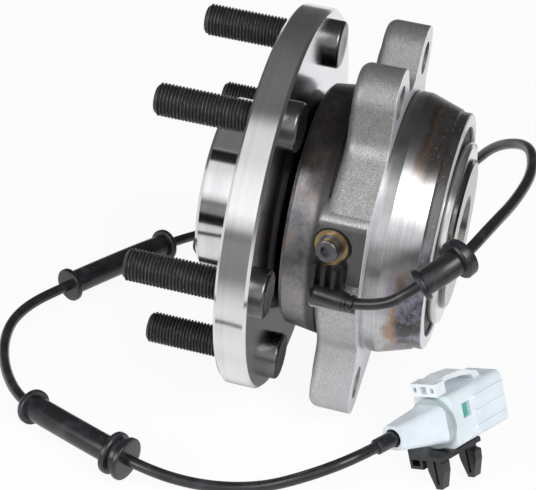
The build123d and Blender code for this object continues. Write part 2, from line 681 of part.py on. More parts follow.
def plug_terminals():
    """Two blade terminals that stand out of the insert."""
    start = COVER_L + COLLAR_T + PLUG_BODY_L - PLUG_CAVITY_L
    blade = Box(TERMINAL_W, TERMINAL_T, TERMINAL_L)
    return [Pos(-PLUG_DROP, side * TERMINAL_PITCH / 2, start + TERMINAL_L / 2 + 1) * blade
            for side in (-1, 1)]


def plug_clip():
    """Black clip under the plug: plate, hollow lug and two push-in anchors."""
    under = -PLUG_BODY_H / 2 - PLUG_DROP
    clip = Pos(under - CLIP_T / 2, 0, CLIP_START + CLIP_L / 2) * Box(CLIP_T, CLIP_W, CLIP_L)
    lug = Box(LUG_H, LUG_W, LUG_L)
    lug -= Pos(0, 0, -LUG_WALL) * Box(LUG_H - 2 * LUG_WALL, LUG_W - 2 * LUG_WALL, LUG_L)
    lug_at = Pos(under - LUG_H / 2, -CLIP_W / 2 - LUG_W / 2 + 2, LUG_START + LUG_L / 2)
    clip += lug_at * lug
    half = [(-depth, width) for depth, width in ANCHOR_SIDE]
    outline = half + [(depth, -width) for depth, width in reversed(half)]
    slot = Pos(-ANCHOR_SIDE[1][0] - ANCHOR_SLOT_L / 2, 0) * Rectangle(ANCHOR_SLOT_L, ANCHOR_SLOT_W)
    anchor = extrude(make_face(Polyline(*outline, close=True)) - slot, ANCHOR_T)
    for along_at, across_at in ANCHORS:
        clip += Pos(under - CLIP_T, across_at, along_at - ANCHOR_T / 2) * anchor
    return clip


# ---------------------------------------------------------------- the assembly
def save(name, shape):
    """Write one named piece to its STEP file."""
    solids = shape if isinstance(shape, list) else shape.solids()
    piece = solids[0] if len(solids) == 1 else Compound(children=solids)
    piece.label = name
    export_step(piece, f"parts/{name}.step")
    box = piece.bounding_box()
    print(f"{name:16s} {len(solids):3d} {sum(s.volume for s in solids):10.1f}"
          f"  z {box.min.Z:7.2f}  y {box.min.Y:7.2f} {box.max.Y:7.2f}")


def main():
    """Build every piece in the shared frame and write it."""
    os.makedirs("parts", exist_ok=True)
    save("housing", housing())
    save("wheel_hub", hub())
    save("inner_ring", inner_ring())
    save("wheel_studs", wheel_studs())
    save("tone_ring", tone_ring())
    for side, row in (("outboard", OUTBOARD_ROW), ("inboard", INBOARD_ROW)):
        save(f"{side}_balls", balls(row))
        save(f"{side}_cage", cage(row))
    save("outboard_seal", seal(BARREL_FACE - OUTBOARD_SEAL_RECESS, NECK_R, -1))
    save("inboard_seal", seal(TAIL_END + INBOARD_SEAL_RECESS, RING_SEAL_R, 1))

    path = cord_path()
    cord = stretch(path, 0, path.length, CORD_R)
    print("cable volume over length times section",
          cord.volume / (pi * CORD_R ** 2 * path.length))
    sleeve_start = path.length - SLEEVE_L
    sleeve = stretch(path, sleeve_start, SLEEVE_L, SLEEVE_R)
    save("sensor_body", sensor_body())
    save("sensor_probe", sensor_probe())
    save("sensor_o_ring", sensor_o_ring())
    save("sensor_bush", sensor_bush())
    save("sensor_washer", sensor_washer())
    save("sensor_screw", sensor_screw())
    save("cable_boot", cable_boot(cord))
    save("sensor_cable", cord)
    save("cable_sleeve", sleeve - cord)

    save("short_grommet", grommet(path, SHORT_GROMMET_AT, SHORT_GROMMET_L, [
        (0, SHORT_GROMMET_SMALL_R, GROMMET_DISC_T),
        (SHORT_GROMMET_L - SHORT_GROMMET_BIG_T, SHORT_GROMMET_BIG_R, SHORT_GROMMET_BIG_T)]))
    save("long_grommet", grommet(path, LONG_GROMMET_AT, LONG_GROMMET_L, [
        (0, LONG_GROMMET_DISC_R, GROMMET_DISC_T),
        (LONG_GROMMET_L - GROMMET_DISC_T, LONG_GROMMET_DISC_R, GROMMET_DISC_T)]))
    last = BRACKET_GROMMET_L - GROMMET_DISC_T
    save("bracket_grommet", grommet(path, BRACKET_GROMMET_AT, BRACKET_GROMMET_L, [
        (0, BRACKET_GROMMET_DISC_R, GROMMET_DISC_T),
        (last - BRACKET_GROOVE_W - GROMMET_DISC_T, BRACKET_GROMMET_BIG_R, GROMMET_DISC_T),
        (last - BRACKET_GROOVE_W, BRACKET_GROOVE_R, BRACKET_GROOVE_W),
        (last, BRACKET_GROMMET_BIG_R, GROMMET_DISC_T)]))

    frame = plug_frame()
    terminals = plug_terminals()
    insert = plug_cavity(0, INSERT_L)
    for blade in terminals:
        insert -= blade
    save("plug_cover", frame * plug_cover())
    save("plug_wire_seal", frame * plug_wire_seal() - sleeve - cord)
    save("plug_collar", frame * plug_collar())
    save("plug_body", frame * plug_body())
    save("plug_latch", frame * plug_latch())
    save("plug_insert", frame * insert)
    save("plug_terminals", [frame * blade for blade in terminals])
    save("plug_clip", frame * plug_clip())


main()
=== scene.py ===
"""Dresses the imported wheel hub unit: finishes, threaded studs, the sensor's cable and its plug."""

import logging
from bisect import bisect_right
from dataclasses import dataclass, field
from enum import Enum
from math import cos, pi, radians, sin

import bmesh
import bpy
from mathutils import Matrix, Vector


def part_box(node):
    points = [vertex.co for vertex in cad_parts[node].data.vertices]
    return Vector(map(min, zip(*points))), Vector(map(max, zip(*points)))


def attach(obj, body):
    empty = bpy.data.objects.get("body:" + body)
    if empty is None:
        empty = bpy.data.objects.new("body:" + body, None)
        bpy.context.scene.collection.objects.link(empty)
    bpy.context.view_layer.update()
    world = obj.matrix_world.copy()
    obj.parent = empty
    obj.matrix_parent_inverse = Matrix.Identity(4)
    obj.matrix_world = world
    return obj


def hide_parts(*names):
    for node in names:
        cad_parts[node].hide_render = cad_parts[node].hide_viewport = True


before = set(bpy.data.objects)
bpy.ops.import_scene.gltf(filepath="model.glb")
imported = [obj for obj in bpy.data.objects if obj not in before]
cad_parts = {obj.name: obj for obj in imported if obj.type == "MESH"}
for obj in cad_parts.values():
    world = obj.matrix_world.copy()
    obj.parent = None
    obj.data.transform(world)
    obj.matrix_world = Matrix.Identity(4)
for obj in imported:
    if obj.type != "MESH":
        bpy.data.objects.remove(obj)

LOG = logging.getLogger("wheel_hub_unit")
MM = 0.001
WELD = 1e-7  # corners closer than this are one, in metres

Color = tuple[float, float, float]
Point = tuple[float, float, float]
Stops = tuple[tuple[float, Color], ...]  # positions and colours of a ramp
Ring = tuple[float, float]  # distance along a piece, and radius there
Span = tuple[float, float]  # where a soft change starts and ends
Range = tuple[float, float]  # what a factor of 0 gives, and a factor of 1
Bump = tuple[float, float]  # strength, and depth in metres
Pairs = tuple[tuple[float, float], ...]
Socket = bpy.types.NodeSocket
Value = Socket | float

# painted shade for the tops of the plate and of the turned land
TOP_SHADE: Color = (0.17, 0.168, 0.165)
# bare steel for the specks in the oxide, and painted floor light for the plate's lower part
BARE_STEEL_AND_FLOOR_LIGHT: Color = (0.50, 0.50, 0.53)
# near-black of the heat oxide, which is partly painted shade, and painted shade in the groove
OXIDE_AND_SHADE_BLACK: Color = (0.032, 0.029, 0.028)


class Body(Enum):
    """Rigid bodies of the unit that a piece can ride on."""

    HOUSING = "housing"
    HUB = "hub"


class Side(Enum):
    """The two bearing rows."""

    OUTBOARD = "outboard"
    INBOARD = "inboard"


# ---------------------------------------------------------------- node trees
@dataclass(frozen=True)
class Noise:
    """Noise pattern: features per metre, octaves and the weight of the finer ones.

    With patches it is sharpened: 0 below the first of the two levels, 1 above the second.
    """

    scale: float
    detail: float = 3.0
    rough: float = 0.55
    patches: Span | None = None


class Tree:
    """Node tree, with short calls for the nodes that the finishes and the studio use."""

    def __init__(self, tree: bpy.types.NodeTree, coordinates: str) -> None:
        """Take a tree, and read the place at which it is sampled.

        Args:
            tree: The node tree to add to.
            coordinates: The kind of texture coordinates that give the place.
        """
        self.tree = tree
        self.place = self.add("TexCoord").outputs[coordinates]
        self.x, self.y, self.z = self.split(self.place)

    def add(self, kind: str) -> bpy.types.Node:
        """Add a node; its kind is the type's name without ShaderNode."""
        return self.tree.nodes.new(f"ShaderNode{kind}")

    def put(self, source: Value | Color, target: Socket) -> None:
        """Link a socket to another, or set a plain value on it.

        Args:
            source: An output socket, a number or a colour.
            target: The input socket.
        """
        if isinstance(source, bpy.types.NodeSocket):
            self.tree.links.new(source, target)
        elif isinstance(source, tuple) and target.type == "RGBA":
            target.default_value = (*source, 1.0)
        else:
            target.default_value = source

    def split(self, vector: Socket) -> tuple[Socket, Socket, Socket]:
        """Return the three parts of a vector.

        Args:
            vector: The vector's socket.

        Returns:
            The sockets of its x, y and z.
        """
        node = self.add("SeparateXYZ")
        self.put(vector, node.inputs[0])
        return node.outputs[0], node.outputs[1], node.outputs[2]

    def join(self, *parts: Value) -> Socket:
        """Return a vector made of three parts.

        Args:
            parts: Its x, y and z.

        Returns:
            The vector's socket.
        """
        node = self.add("CombineXYZ")
        for part, target in zip(parts, node.inputs):
            self.put(part, target)
        return node.outputs[0]

    def math(self, kind: str, *values: Value) -> Socket:
        """Return the result of one Math node.

        Args:
            kind: The node's operation.
            values: Its inputs, in order.

        Returns:
            The output socket.
        """
        node = self.add("Math")
        node.operation = kind
        for value, target in zip(values, node.inputs):
            self.put(value, target)
        return node.outputs[0]

    def times(self, a: Value, b: Value) -> Socket:
        """Return the product of two values."""
        return self.math("MULTIPLY", a, b)

    def greater(self, a: Value, b: Value) -> Socket:
        """Return the greater of two values."""
        return self.math("MAXIMUM", a, b)

    def radius(self) -> Socket:
        """Return the distance from the spin axis, in metres."""
        squares = self.math("ADD", self.times(self.x, self.x), self.times(self.z, self.z))
        return self.math("SQRT", squares)

    def step(self, value: Socket, low: float, high: float) -> Socket:
        """Return a smooth step of a value, from 0 at low to 1 at high.

        Args:
            value: The value to test.
            low: Where the step starts.
            high: Where the step ends.

        Returns:
            The output socket, between 0 and 1.
        """
        node = self.add("MapRange")
        node.interpolation_type = "SMOOTHSTEP"
        self.put(value, node.inputs["Value"])
        node.inputs["From Min"].default_value = low
        node.inputs["From Max"].default_value = high
        return node.outputs["Result"]

    def before(self, value: Socket, low: float, high: float) -> Socket:
        """Return the opposite of a smooth step, from 1 at low to 0 at high."""
        return self.math("SUBTRACT", 1.0, self.step(value, low, high))

    def noise(self, pattern: Noise, vector: Socket | None = None) -> Socket:
        """Return a noise value between 0 and 1.

        Args:
            pattern: The kind of noise.
            vector: Where to sample; the piece's own place if left out.

        Returns:
            The output socket.
        """
        node = self.add("TexNoise")
        self.put(vector or self.place, node.inputs["Vector"])
        node.inputs["Scale"].default_value = pattern.scale
        node.inputs["Detail"].default_value = pattern.detail
        node.inputs["Roughness"].default_value = pattern.rough
        value = node.outputs["Fac"]
        return self.step(value, *pattern.patches) if pattern.patches else value

    def shifted(self, value: Socket, pattern: Noise, reach: float) -> Socket:
        """Return a value that a noise moves to and fro, by up to a reach."""
        return self.math("ADD", value, self.blend(self.noise(pattern), -reach, reach))

    def varied(self, factor: Socket, value: float, spread: Range) -> Socket:
        """Return a value that a factor moves between two multiples of it."""
        return self.blend(factor, value * spread[0], value * spread[1])

    def ramp(self, factor: Socket, stops: Stops) -> Socket:
        """Return a colour ramp's colour.

        Args:
            factor: The value along the ramp.
            stops: Positions and colours, at least two, in order.

        Returns:
            The colour socket.
        """
        node = self.add("ValToRGB")
        elements = node.color_ramp.elements
        for index, (position, color) in enumerate(stops):
            element = elements[index] if index < 2 else elements.new(position)
            element.position = position
            element.color = (*color, 1.0)
        self.put(factor, node.inputs["Fac"])
        return node.outputs["Color"]

    def mix(self, factor: Value, a: Socket | Color, b: Socket | Color) -> Socket:
        """Return a mix of two colours.

        Args:
            factor: Share of the second colour.
            a: First colour.
            b: Second colour.

        Returns:
            The colour socket.
        """
        node = self.add("Mix")
        node.data_type = "RGBA"
        # inputs 6 and 7 and output 2 are the node's colours
        self.put(factor, node.inputs[0])
        self.put(a, node.inputs[6])
        self.put(b, node.inputs[7])
        return node.outputs[2]

    def blend(self, factor: Value, a: Value, b: Value) -> Socket:
        """Return a mix of two values.

        Args:
            factor: Share of the second value.
            a: First value.
            b: Second value.

        Returns:
            The value socket.
        """
        node = self.add("Mix")
        self.put(factor, node.inputs[0])
        self.put(a, node.inputs[2])
        self.put(b, node.inputs[3])
        return node.outputs[0]


class Graph(Tree):
    """Node tree of one material, round its Principled shader."""

    def __init__(self, name: str) -> None:
        """Start a material with a bare Principled shader.

        Args:
            name: The material's name.
        """
        self.material = bpy.data.materials.new(name)
        self.material.use_nodes = True
        super().__init__(self.material.node_tree, "Object")
        self.shader = self.tree.nodes["Principled BSDF"]

    def bump(self, *layers: tuple[Socket, float, float]) -> None:
        """Stack bumps on the shader's normal.

        Args:
            layers: Height socket, strength and depth in metres of each bump.
        """
        normal = None
        for height, strength, depth in layers:
            node = self.add("Bump")
            node.inputs["Strength"].default_value = strength
            node.inputs["Distance"].default_value = depth
            self.put(height, node.inputs["Height"])
            if normal is not None:
                self.put(normal, node.inputs["Normal"])
            normal = node.outputs["Normal"]
        self.put(normal, self.shader.inputs["Normal"])

    def surface(self, color: Socket | Color, roughness: Value,
                metallic: Value = 0.0) -> bpy.types.Material:
        """Set the shader's main sockets and return the material.

        Args:
            color: Base colour.
            roughness: Roughness.
            metallic: Metal share.

        Returns:
            The finished material.
        """
        self.put(color, self.shader.inputs["Base Color"])
        self.put(roughness, self.shader.inputs["Roughness"])
        self.put(metallic, self.shader.inputs["Metallic"])
        return self.material


# ---------------------------------------------------------------- finishes
@dataclass(frozen=True)
class TurnedSteel:
    """Bright steel with the fine rings that a lathe leaves."""

    name: str
    color: Color = (0.68, 0.675, 0.665)
    shade: Color = (0.50, 0.50, 0.50)
    roughness: float = 0.20
    spread: Range = (0.75, 1.45)
    lathe: Noise = Noise(2600.0, 4.0, 0.7)
    line_bump: Bump = (0.55, 6e-6)
    bands: Noise = Noise(320.0, 2.0)
    band_share: float = 0.35
    stain: Noise = Noise(45.0, 4.0)
    shading: Span = (0.35, 0.75)

    def turned(self, graph: Graph) -> tuple[Socket, Socket, Socket]:
        """Return what all turned faces have.

        Args:
            graph: The material's node tree.

        Returns:
            The lathe's fine lines between 0 and 1, the colour and the roughness.
        """
        rings = graph.join(graph.radius(), graph.y, 0.0)
        lines = graph.noise(self.lathe, rings)
        tone = graph.blend(self.band_share, graph.noise(self.stain),
                           graph.noise(self.bands, rings))
        color = graph.mix(graph.step(tone, *self.shading), self.color, self.shade)
        return lines, color, graph.varied(lines, self.roughness, self.spread)

    def make(self) -> bpy.types.Material:
        """Build the material.

        Returns:
            The material.
        """
        graph = Graph(self.name)
        lines, color, rough = self.turned(graph)
        graph.bump((lines, *self.line_bump))
        return graph.surface(color, rough, 1.0)


@dataclass(frozen=True)
class FlangedHubSteel(TurnedSteel):
    """Turned steel of the hub: polished rim, pilot and flange back, the back with painted
    reflection, a darker neck.
    """

    spread: Range = (0.75, 1.4)
    line_bump: Bump = (0.6, 6e-6)
    bands: Noise = Noise(300.0, 2.0)
    band_share: float = 0.4
    stain: Noise = Noise(38.0, 4.0)
    grain: Noise = Noise(900.0)
    grain_bump: Bump = (0.12, 1e-5)
    flange_back: Span = (-0.0141, -0.0137)
    # lighter, bluish copy of the steel on the flange back: painted floor reflection
    back: tuple[Color, Color] = ((0.84, 0.84, 0.89), (0.68, 0.68, 0.73))
    back_cloud: Noise = Noise(70.0)
    back_roughness: float = 0.17
    back_spread: Range = (0.8, 1.2)
    neck: Span = (-0.0162, -0.0150)
    neck_dark: tuple[Color, Color] = ((0.10, 0.095, 0.09), (0.26, 0.25, 0.24))
    forging: Noise = Noise(260.0, 5.0)

    def make(self) -> bpy.types.Material:
        """Build the material.

        Returns:
            The material.
        """
        graph = Graph(self.name)
        lines, bright, rough = self.turned(graph)
        behind = graph.before(graph.y, *self.flange_back)
        neck = graph.before(graph.y, *self.neck)
        # painted floor reflection on the flange back
        back = graph.mix(graph.noise(self.back_cloud), *self.back)
        # the neck is darker, in a coarse mottle
        neck_dark = graph.mix(graph.noise(self.forging), *self.neck_dark)
        color = graph.mix(neck, graph.mix(behind, bright, back), neck_dark)
        polish = graph.varied(lines, self.back_roughness, self.back_spread)
        graph.bump((lines, *self.line_bump), (graph.noise(self.grain), *self.grain_bump))
        return graph.surface(color, graph.blend(behind, rough, polish), 1.0)


@dataclass(frozen=True)
class BlastedPlate:
    """Blasted forging of the plate and its ears: painted shade above, painted floor light below, a
    pad of painted shade.
    """

    speckled: Stops = ((0.38, (0.26, 0.258, 0.252)), (0.50, (0.44, 0.438, 0.432)),
                       (0.62, (0.66, 0.66, 0.655)))
    top_shade_rise: Span = (0.030, 0.070)
    top_shade_share: float = 0.55
    floor_light_rise: Span = (-0.050, -0.010)
    floor_light_share: float = 0.45
    pad_shade: Color = (0.055, 0.055, 0.053)
    pad_shade_share: float = 0.86
    pad_x: Span = (-0.0663, -0.0655)
    pad_top: Span = (0.0265, 0.0285)
    pad_bottom: Span = (-0.0140, -0.0120)

    def on_pad(self, graph: Graph) -> Socket:
        """Return 1 on the flat of the sensor's boss."""
        beside = graph.times(graph.before(graph.x, *self.pad_x),
                             graph.before(graph.z, *self.pad_top))
        return graph.times(beside, graph.step(graph.z, *self.pad_bottom))

    def look(self, graph: Graph, speckle: Socket) -> Socket:
        """Return the plate's colour.

        Args:
            graph: The material's node tree.
            speckle: The blasting's speckle, between 0 and 1.

        Returns:
            The colour socket.
        """
        color = graph.ramp(speckle, self.speckled)
        # painted shade: the plate darkens towards the top
        shaded_top = graph.times(graph.step(graph.z, *self.top_shade_rise), self.top_shade_share)
        color = graph.mix(shaded_top, color, TOP_SHADE)
        # painted floor light: the plate turns lighter and bluer towards the bottom
        floor_light = graph.times(graph.before(graph.z, *self.floor_light_rise), self.floor_light_share)
        color = graph.mix(floor_light, color, BARE_STEEL_AND_FLOOR_LIGHT)
        # painted shade on the flat of the sensor's boss
        return graph.mix(graph.times(self.on_pad(graph), self.pad_shade_share), color, self.pad_shade)


@dataclass(frozen=True)
class DarkBarrel:
    """Barrel in front of the plate: painted shade above, patchy blue-grey and rust below."""

    top_shade_stops: Stops = ((0.42, (0.030, 0.027, 0.025)), (0.56, (0.060, 0.054, 0.050)),
                  (0.68, (0.16, 0.15, 0.14)))
    middle: Stops = ((0.40, (0.16, 0.16, 0.172)), (0.52, (0.33, 0.32, 0.325)),
                     (0.60, (0.43, 0.32, 0.24)))
    cloud: Noise = Noise(42.0)
    cloud_share: float = 0.55
    grain_share: float = 0.30
    shade_rise: Span = (0.020, 0.036)
    wander: Noise = Noise(70.0, 4.0)
    wander_reach: float = 0.010

    def look(self, graph: Graph, grain: Socket, mottle: Socket) -> Socket:
        """Return the barrel's colour.

        Args:
            graph: The material's node tree.
            grain: Fine grain, between 0 and 1.
            mottle: Coarser patches, between 0 and 1.

        Returns:
            The colour socket.
        """
        worn = graph.blend(self.cloud_share, mottle, graph.noise(self.cloud))
        worn = graph.blend(self.grain_share, worn, grain)
        # painted shade: the barrel darkens towards its top, above a wavy line
        height = graph.shifted(graph.z, self.wander, self.wander_reach)
        return graph.mix(graph.step(height, *self.shade_rise), graph.ramp(worn, self.middle),
                         graph.ramp(worn, self.top_shade_stops))


@dataclass(frozen=True)
class OxideTail:
    """Ring behind the plate: bright turned land, then heat oxide, partly painted shade, with a straw
    fringe.
    """

    turned: tuple[Color, Color] = ((0.66, 0.66, 0.67), (0.40, 0.40, 0.41))
    cloud: Noise = Noise(48.0, 4.0)
    line_share: float = 0.45
    shading: Span = (0.38, 0.62)
    top_shade_rise: Span = (0.030, 0.052)
    top_shade_share: float = 0.9
    wander: Noise = Noise(62.0, 4.0)
    wander_reach: float = 0.006
    above: Span = (0.034, 0.046)
    below: Span = (-0.006, 0.014)
    fringe: Span = (-0.0675, -0.0645)
    fringe_share: float = 0.8
    core: Span = (-0.0710, -0.0670)
    core_share: float = 0.96
    end: Span = (-0.0761, -0.0757)
    end_share: float = 0.85
    violet: Color = (0.25, 0.23, 0.31)
    spots: Noise = Noise(105.0, 5.0, patches=(0.44, 0.64))
    spot_rise: Span = (-0.005, 0.035)
    spot_shares: Range = (0.9, 0.08)
    specks: Noise = Noise(750.0, 1.0, patches=(0.70, 0.74))
    speck_share: float = 0.5
    straw: Color = (0.36, 0.20, 0.10)
    tints: Noise = Noise(150.0, patches=(0.42, 0.60))
    shaded_straw: Color = (0.15, 0.095, 0.062)
    straw_shade_rise: Span = (0.0, 0.030)

    def land(self, graph: Graph, lines: Socket) -> Socket:
        """Return the colour of the turned land, darkened towards the top with painted shade.

        Args:
            graph: The material's node tree.
            lines: Fine turned rings, between 0 and 1.

        Returns:
            The colour socket.
        """
        tone = graph.blend(self.line_share, graph.noise(self.cloud), lines)
        bright = graph.mix(graph.step(tone, *self.shading), *self.turned)
        # painted shade: the land darkens towards the top
        shaded_top = graph.times(graph.step(graph.z, *self.top_shade_rise), self.top_shade_share)
        return graph.mix(shaded_top, bright, TOP_SHADE)

    def places(self, graph: Graph) -> tuple[Socket, Socket]:
        """Return where the heat has tinted the ring, and where painted shade darkens it.

        Args:
            graph: The material's node tree.

        Returns:
            The shares of the fringe and of the core, between 0 and 1.
        """
        wavy = graph.shifted(graph.y, self.wander, self.wander_reach)
        # the dark core lies only above and low down, where it is partly painted shade; the lit
        # middle stays bright
        reach = graph.greater(graph.step(graph.z, *self.above),
                              graph.before(graph.z, *self.below))
        fringe = graph.times(reach, graph.before(wavy, *self.fringe))
        core = graph.times(reach, graph.before(wavy, *self.core))
        end = graph.times(graph.before(graph.y, *self.end), self.end_share)
        return fringe, graph.greater(core, end)

    def look(self, graph: Graph, lines: Socket) -> tuple[Socket, Socket]:
        """Return the look behind the plate.

        Args:
            graph: The material's node tree.
            lines: Fine turned rings, between 0 and 1.

        Returns:
            The colour, and the share of oxide and painted shade.
        """
        fringe, core = self.places(graph)
        violet = graph.times(graph.noise(self.spots), graph.blend(
            graph.step(graph.z, *self.spot_rise), *self.spot_shares))
        dark_oxide_and_shade = graph.mix(violet, OXIDE_AND_SHADE_BLACK, self.violet)
        specks = graph.times(graph.noise(self.specks), self.speck_share)
        dark_oxide_and_shade = graph.mix(specks, dark_oxide_and_shade, BARE_STEEL_AND_FLOOR_LIGHT)
        straw = graph.mix(graph.noise(self.tints), self.straw, self.violet)
        # painted shade: the straw fringe darkens towards the top
        straw = graph.mix(graph.step(graph.z, *self.straw_shade_rise), straw, self.shaded_straw)
        tinted = graph.times(fringe, self.fringe_share)
        color = graph.mix(tinted, self.land(graph, lines), straw)
        return graph.mix(graph.times(core, self.core_share), color, dark_oxide_and_shade), core


@dataclass(frozen=True)
class ForgedHousingSteel:
    """Steel of the outer ring: blasted plate, dark barrel, turned seats and heat-tinted tail, with
    painted light and shade.

    Spans are metres, along the spin axis or from it.
    """

    name: str
    plate: BlastedPlate = BlastedPlate()
    barrel: DarkBarrel = DarkBarrel()
    tail: OxideTail = OxideTail()
    plate_front: Span = (-0.0372, -0.0362)
    plate_back: Span = (-0.0556, -0.0555)
    tail_end: Span = (-0.0803, -0.0800)
    barrel_r: Span = (0.0562, 0.0582)
    seat_r: Span = (0.0576, 0.0578)
    bore_r: Span = (0.0517, 0.0520)
    groove_shade: Span = (-0.0322, -0.0296)
    groove_shade_share: float = 0.85
    grain: Noise = Noise(1300.0, rough=0.75)
    fleck: Noise = Noise(2900.0, 1.0)
    fleck_share: float = 0.4
    mottle: Noise = Noise(210.0, 4.0, 0.65)
    mottle_share: float = 0.14
    lathe: Noise = Noise(2400.0, rough=0.7)
    # lighter, bluish colours of the inboard faces: painted floor reflection
    face: tuple[Color, Color] = ((0.86, 0.86, 0.90), (0.72, 0.72, 0.77))
    face_bands: Noise = Noise(320.0)
    plate_rough: Range = (0.36, 0.60)
    barrel_rough: Range = (0.26, 0.46)
    land_rough: Range = (0.25, 0.40)
    oxide_rough: float = 0.30
    plate_metal: float = 0.72
    oxide_metal: float = 0.38
    face_metal: float = 0.45
    cast_bump: Bump = (0.8, 1.4e-4)
    mottle_bump: Bump = (0.2, 1.0e-4)
    line_bump: Bump = (0.3, 5e-6)

    def flat_faces(self, graph: Graph, radius: Socket, behind_plate: Socket) -> Socket:
        """Return 1 on the faces that look inboard: the plate's seat and the ring's end.

        Args:
            graph: The material's node tree.
            radius: Distance from the spin axis.
            behind_plate: 1 behind the plate's back.

        Returns:
            The output socket, between 0 and 1.
        """
        seat = graph.times(graph.step(radius, *self.seat_r), behind_plate)
        end = graph.times(graph.before(graph.y, *self.tail_end),
                          graph.before(radius, *self.bore_r))
        return graph.greater(seat, end)

    def make(self) -> bpy.types.Material:
        """Build the material.

        Returns:
            The material.
        """
        graph = Graph(self.name)
        radius = graph.radius()
        rings = graph.join(radius, graph.y, 0.0)
        grain, mottle = graph.noise(self.grain), graph.noise(self.mottle)
        speckle = graph.blend(self.fleck_share, grain, graph.noise(self.fleck))
        speckle = graph.blend(self.mottle_share, speckle, mottle)
        lines = graph.noise(self.lathe, rings)

        behind_plate = graph.before(graph.y, *self.plate_back)
        before_plate = graph.times(graph.step(graph.y, *self.plate_front),
                                   graph.before(radius, *self.barrel_r))
        groove_shade = graph.times(before_plate, graph.before(graph.y, *self.groove_shade))
        flat = self.flat_faces(graph, radius, behind_plate)
        tail, oxide = self.tail.look(graph, lines)

        color = graph.mix(before_plate, self.plate.look(graph, speckle),
                          self.barrel.look(graph, grain, mottle))
        # painted shade in the groove between the barrel and the plate
        color = graph.mix(graph.times(groove_shade, self.groove_shade_share), color, OXIDE_AND_SHADE_BLACK)
        color = graph.mix(behind_plate, color, tail)
        # painted floor reflection on the faces that look inboard
        face = graph.mix(graph.noise(self.face_bands, rings), *self.face)
        color = graph.mix(flat, color, face)

        front = graph.blend(before_plate, graph.blend(grain, *self.plate_rough),
                            graph.blend(mottle, *self.barrel_rough))
        behind = graph.blend(oxide, graph.blend(lines, *self.land_rough), self.oxide_rough)
        rough = graph.blend(behind_plate, front, behind)
        metal = graph.blend(behind_plate, self.plate_metal,
                            graph.blend(oxide, 1.0, self.oxide_metal))
        metal = graph.blend(flat, metal, self.face_metal)

        level = 0.5
        cast = graph.blend(behind_plate, speckle, level)
        turned = graph.blend(flat, lines, level)
        graph.bump((cast, *self.cast_bump), (mottle, *self.mottle_bump),
                   (turned, *self.line_bump))
        return graph.surface(color, rough, metal)


@dataclass(frozen=True)
class PlainMetal:
    """Metal of the small parts: balls, bush, screw, washer, blades, tone ring and stud heads."""

    name: str
    color: Color
    shade: Color
    roughness: float
    grain: float = 900.0
    depth: float = 1.2e-5
    strength: float = 0.4
    patch_size: float = 5.0
    spread: Range = (0.8, 1.3)

    def make(self) -> bpy.types.Material:
        """Build the material.

        Returns:
            The material.
        """
        graph = Graph(self.name)
        fine = graph.noise(Noise(self.grain))
        patches = graph.noise(Noise(self.grain / self.patch_size))
        graph.bump((fine, self.strength, self.depth))
        return graph.surface(graph.mix(patches, self.color, self.shade),
                             graph.varied(fine, self.roughness, self.spread), 1.0)


@dataclass(frozen=True)
class BlackPhosphate:
    """Oily black phosphate of the stud threads, worn a little on the crests."""

    name: str
    color: Color = (0.050, 0.050, 0.052)
    worn: Color = (0.13, 0.13, 0.134)
    roughness: float = 0.43
    spread: Range = (0.75, 1.3)
    metallic: float = 0.65
    crest: Span = (0.0065, 0.0070)
    wear: Noise = Noise(400.0, patches=(0.35, 0.7))
    oil: Noise = Noise(1200.0)
    grain: Noise = Noise(1500.0, 2.0)
    grain_bump: Bump = (0.3, 1.5e-5)

    def make(self) -> bpy.types.Material:
        """Build the material.

        Returns:
            The material.
        """
        graph = Graph(self.name)
        wear = graph.times(graph.step(graph.radius(), *self.crest), graph.noise(self.wear))
        rough = graph.varied(graph.noise(self.oil), self.roughness, self.spread)
        graph.bump((graph.noise(self.grain), *self.grain_bump))
        return graph.surface(graph.mix(wear, self.color, self.worn), rough, self.metallic)


@dataclass(frozen=True)
class Rubber:
    """Moulded or extruded rubber with a soft sheen and a little dust."""

    name: str
    color: Color = (0.009, 0.009, 0.010)
    dust: Color = (0.028, 0.028, 0.030)
    roughness: float = 0.30
    grain: float = 1800.0
    spread: Range = (0.85, 1.2)
    dusting: Noise = Noise(120.0, 4.0, patches=(0.45, 0.8))
    grain_bump: Bump = (0.35, 2.0e-5)

    def make(self) -> bpy.types.Material:
        """Build the material.

        Returns:
            The material.
        """
        graph = Graph(self.name)
        fine = graph.noise(Noise(self.grain))
        graph.bump((fine, *self.grain_bump))
        return graph.surface(graph.mix(graph.noise(self.dusting), self.color, self.dust),
                             graph.varied(fine, self.roughness, self.spread))


@dataclass(frozen=True)
class MouldedPlastic:
    """Injection-moulded plastic: fine spark-eroded grain, faint flow marks, maybe a glow."""

    name: str
    color: Color
    shade: Color
    roughness: float = 0.38
    grain: float = 2200.0
    octaves: float = 2.0
    spread: Range = (0.85, 1.2)
    flow: Noise = Noise(85.0, patches=(0.3, 0.75))
    grain_bump: Bump = (0.4, 1.6e-5)
    glow: float = 0.0
    glow_depth: float = 0.002

    def make(self) -> bpy.types.Material:
        """Build the material.

        Returns:
            The material.
        """
        graph = Graph(self.name)
        fine = graph.noise(Noise(self.grain, self.octaves))
        graph.bump((fine, *self.grain_bump))
        if self.glow:
            graph.shader.inputs["Subsurface Weight"].default_value = self.glow
            graph.shader.inputs["Subsurface Radius"].default_value = (self.glow_depth,) * 3
        return graph.surface(graph.mix(graph.noise(self.flow), self.color, self.shade),
                             graph.varied(fine, self.roughness, self.spread))


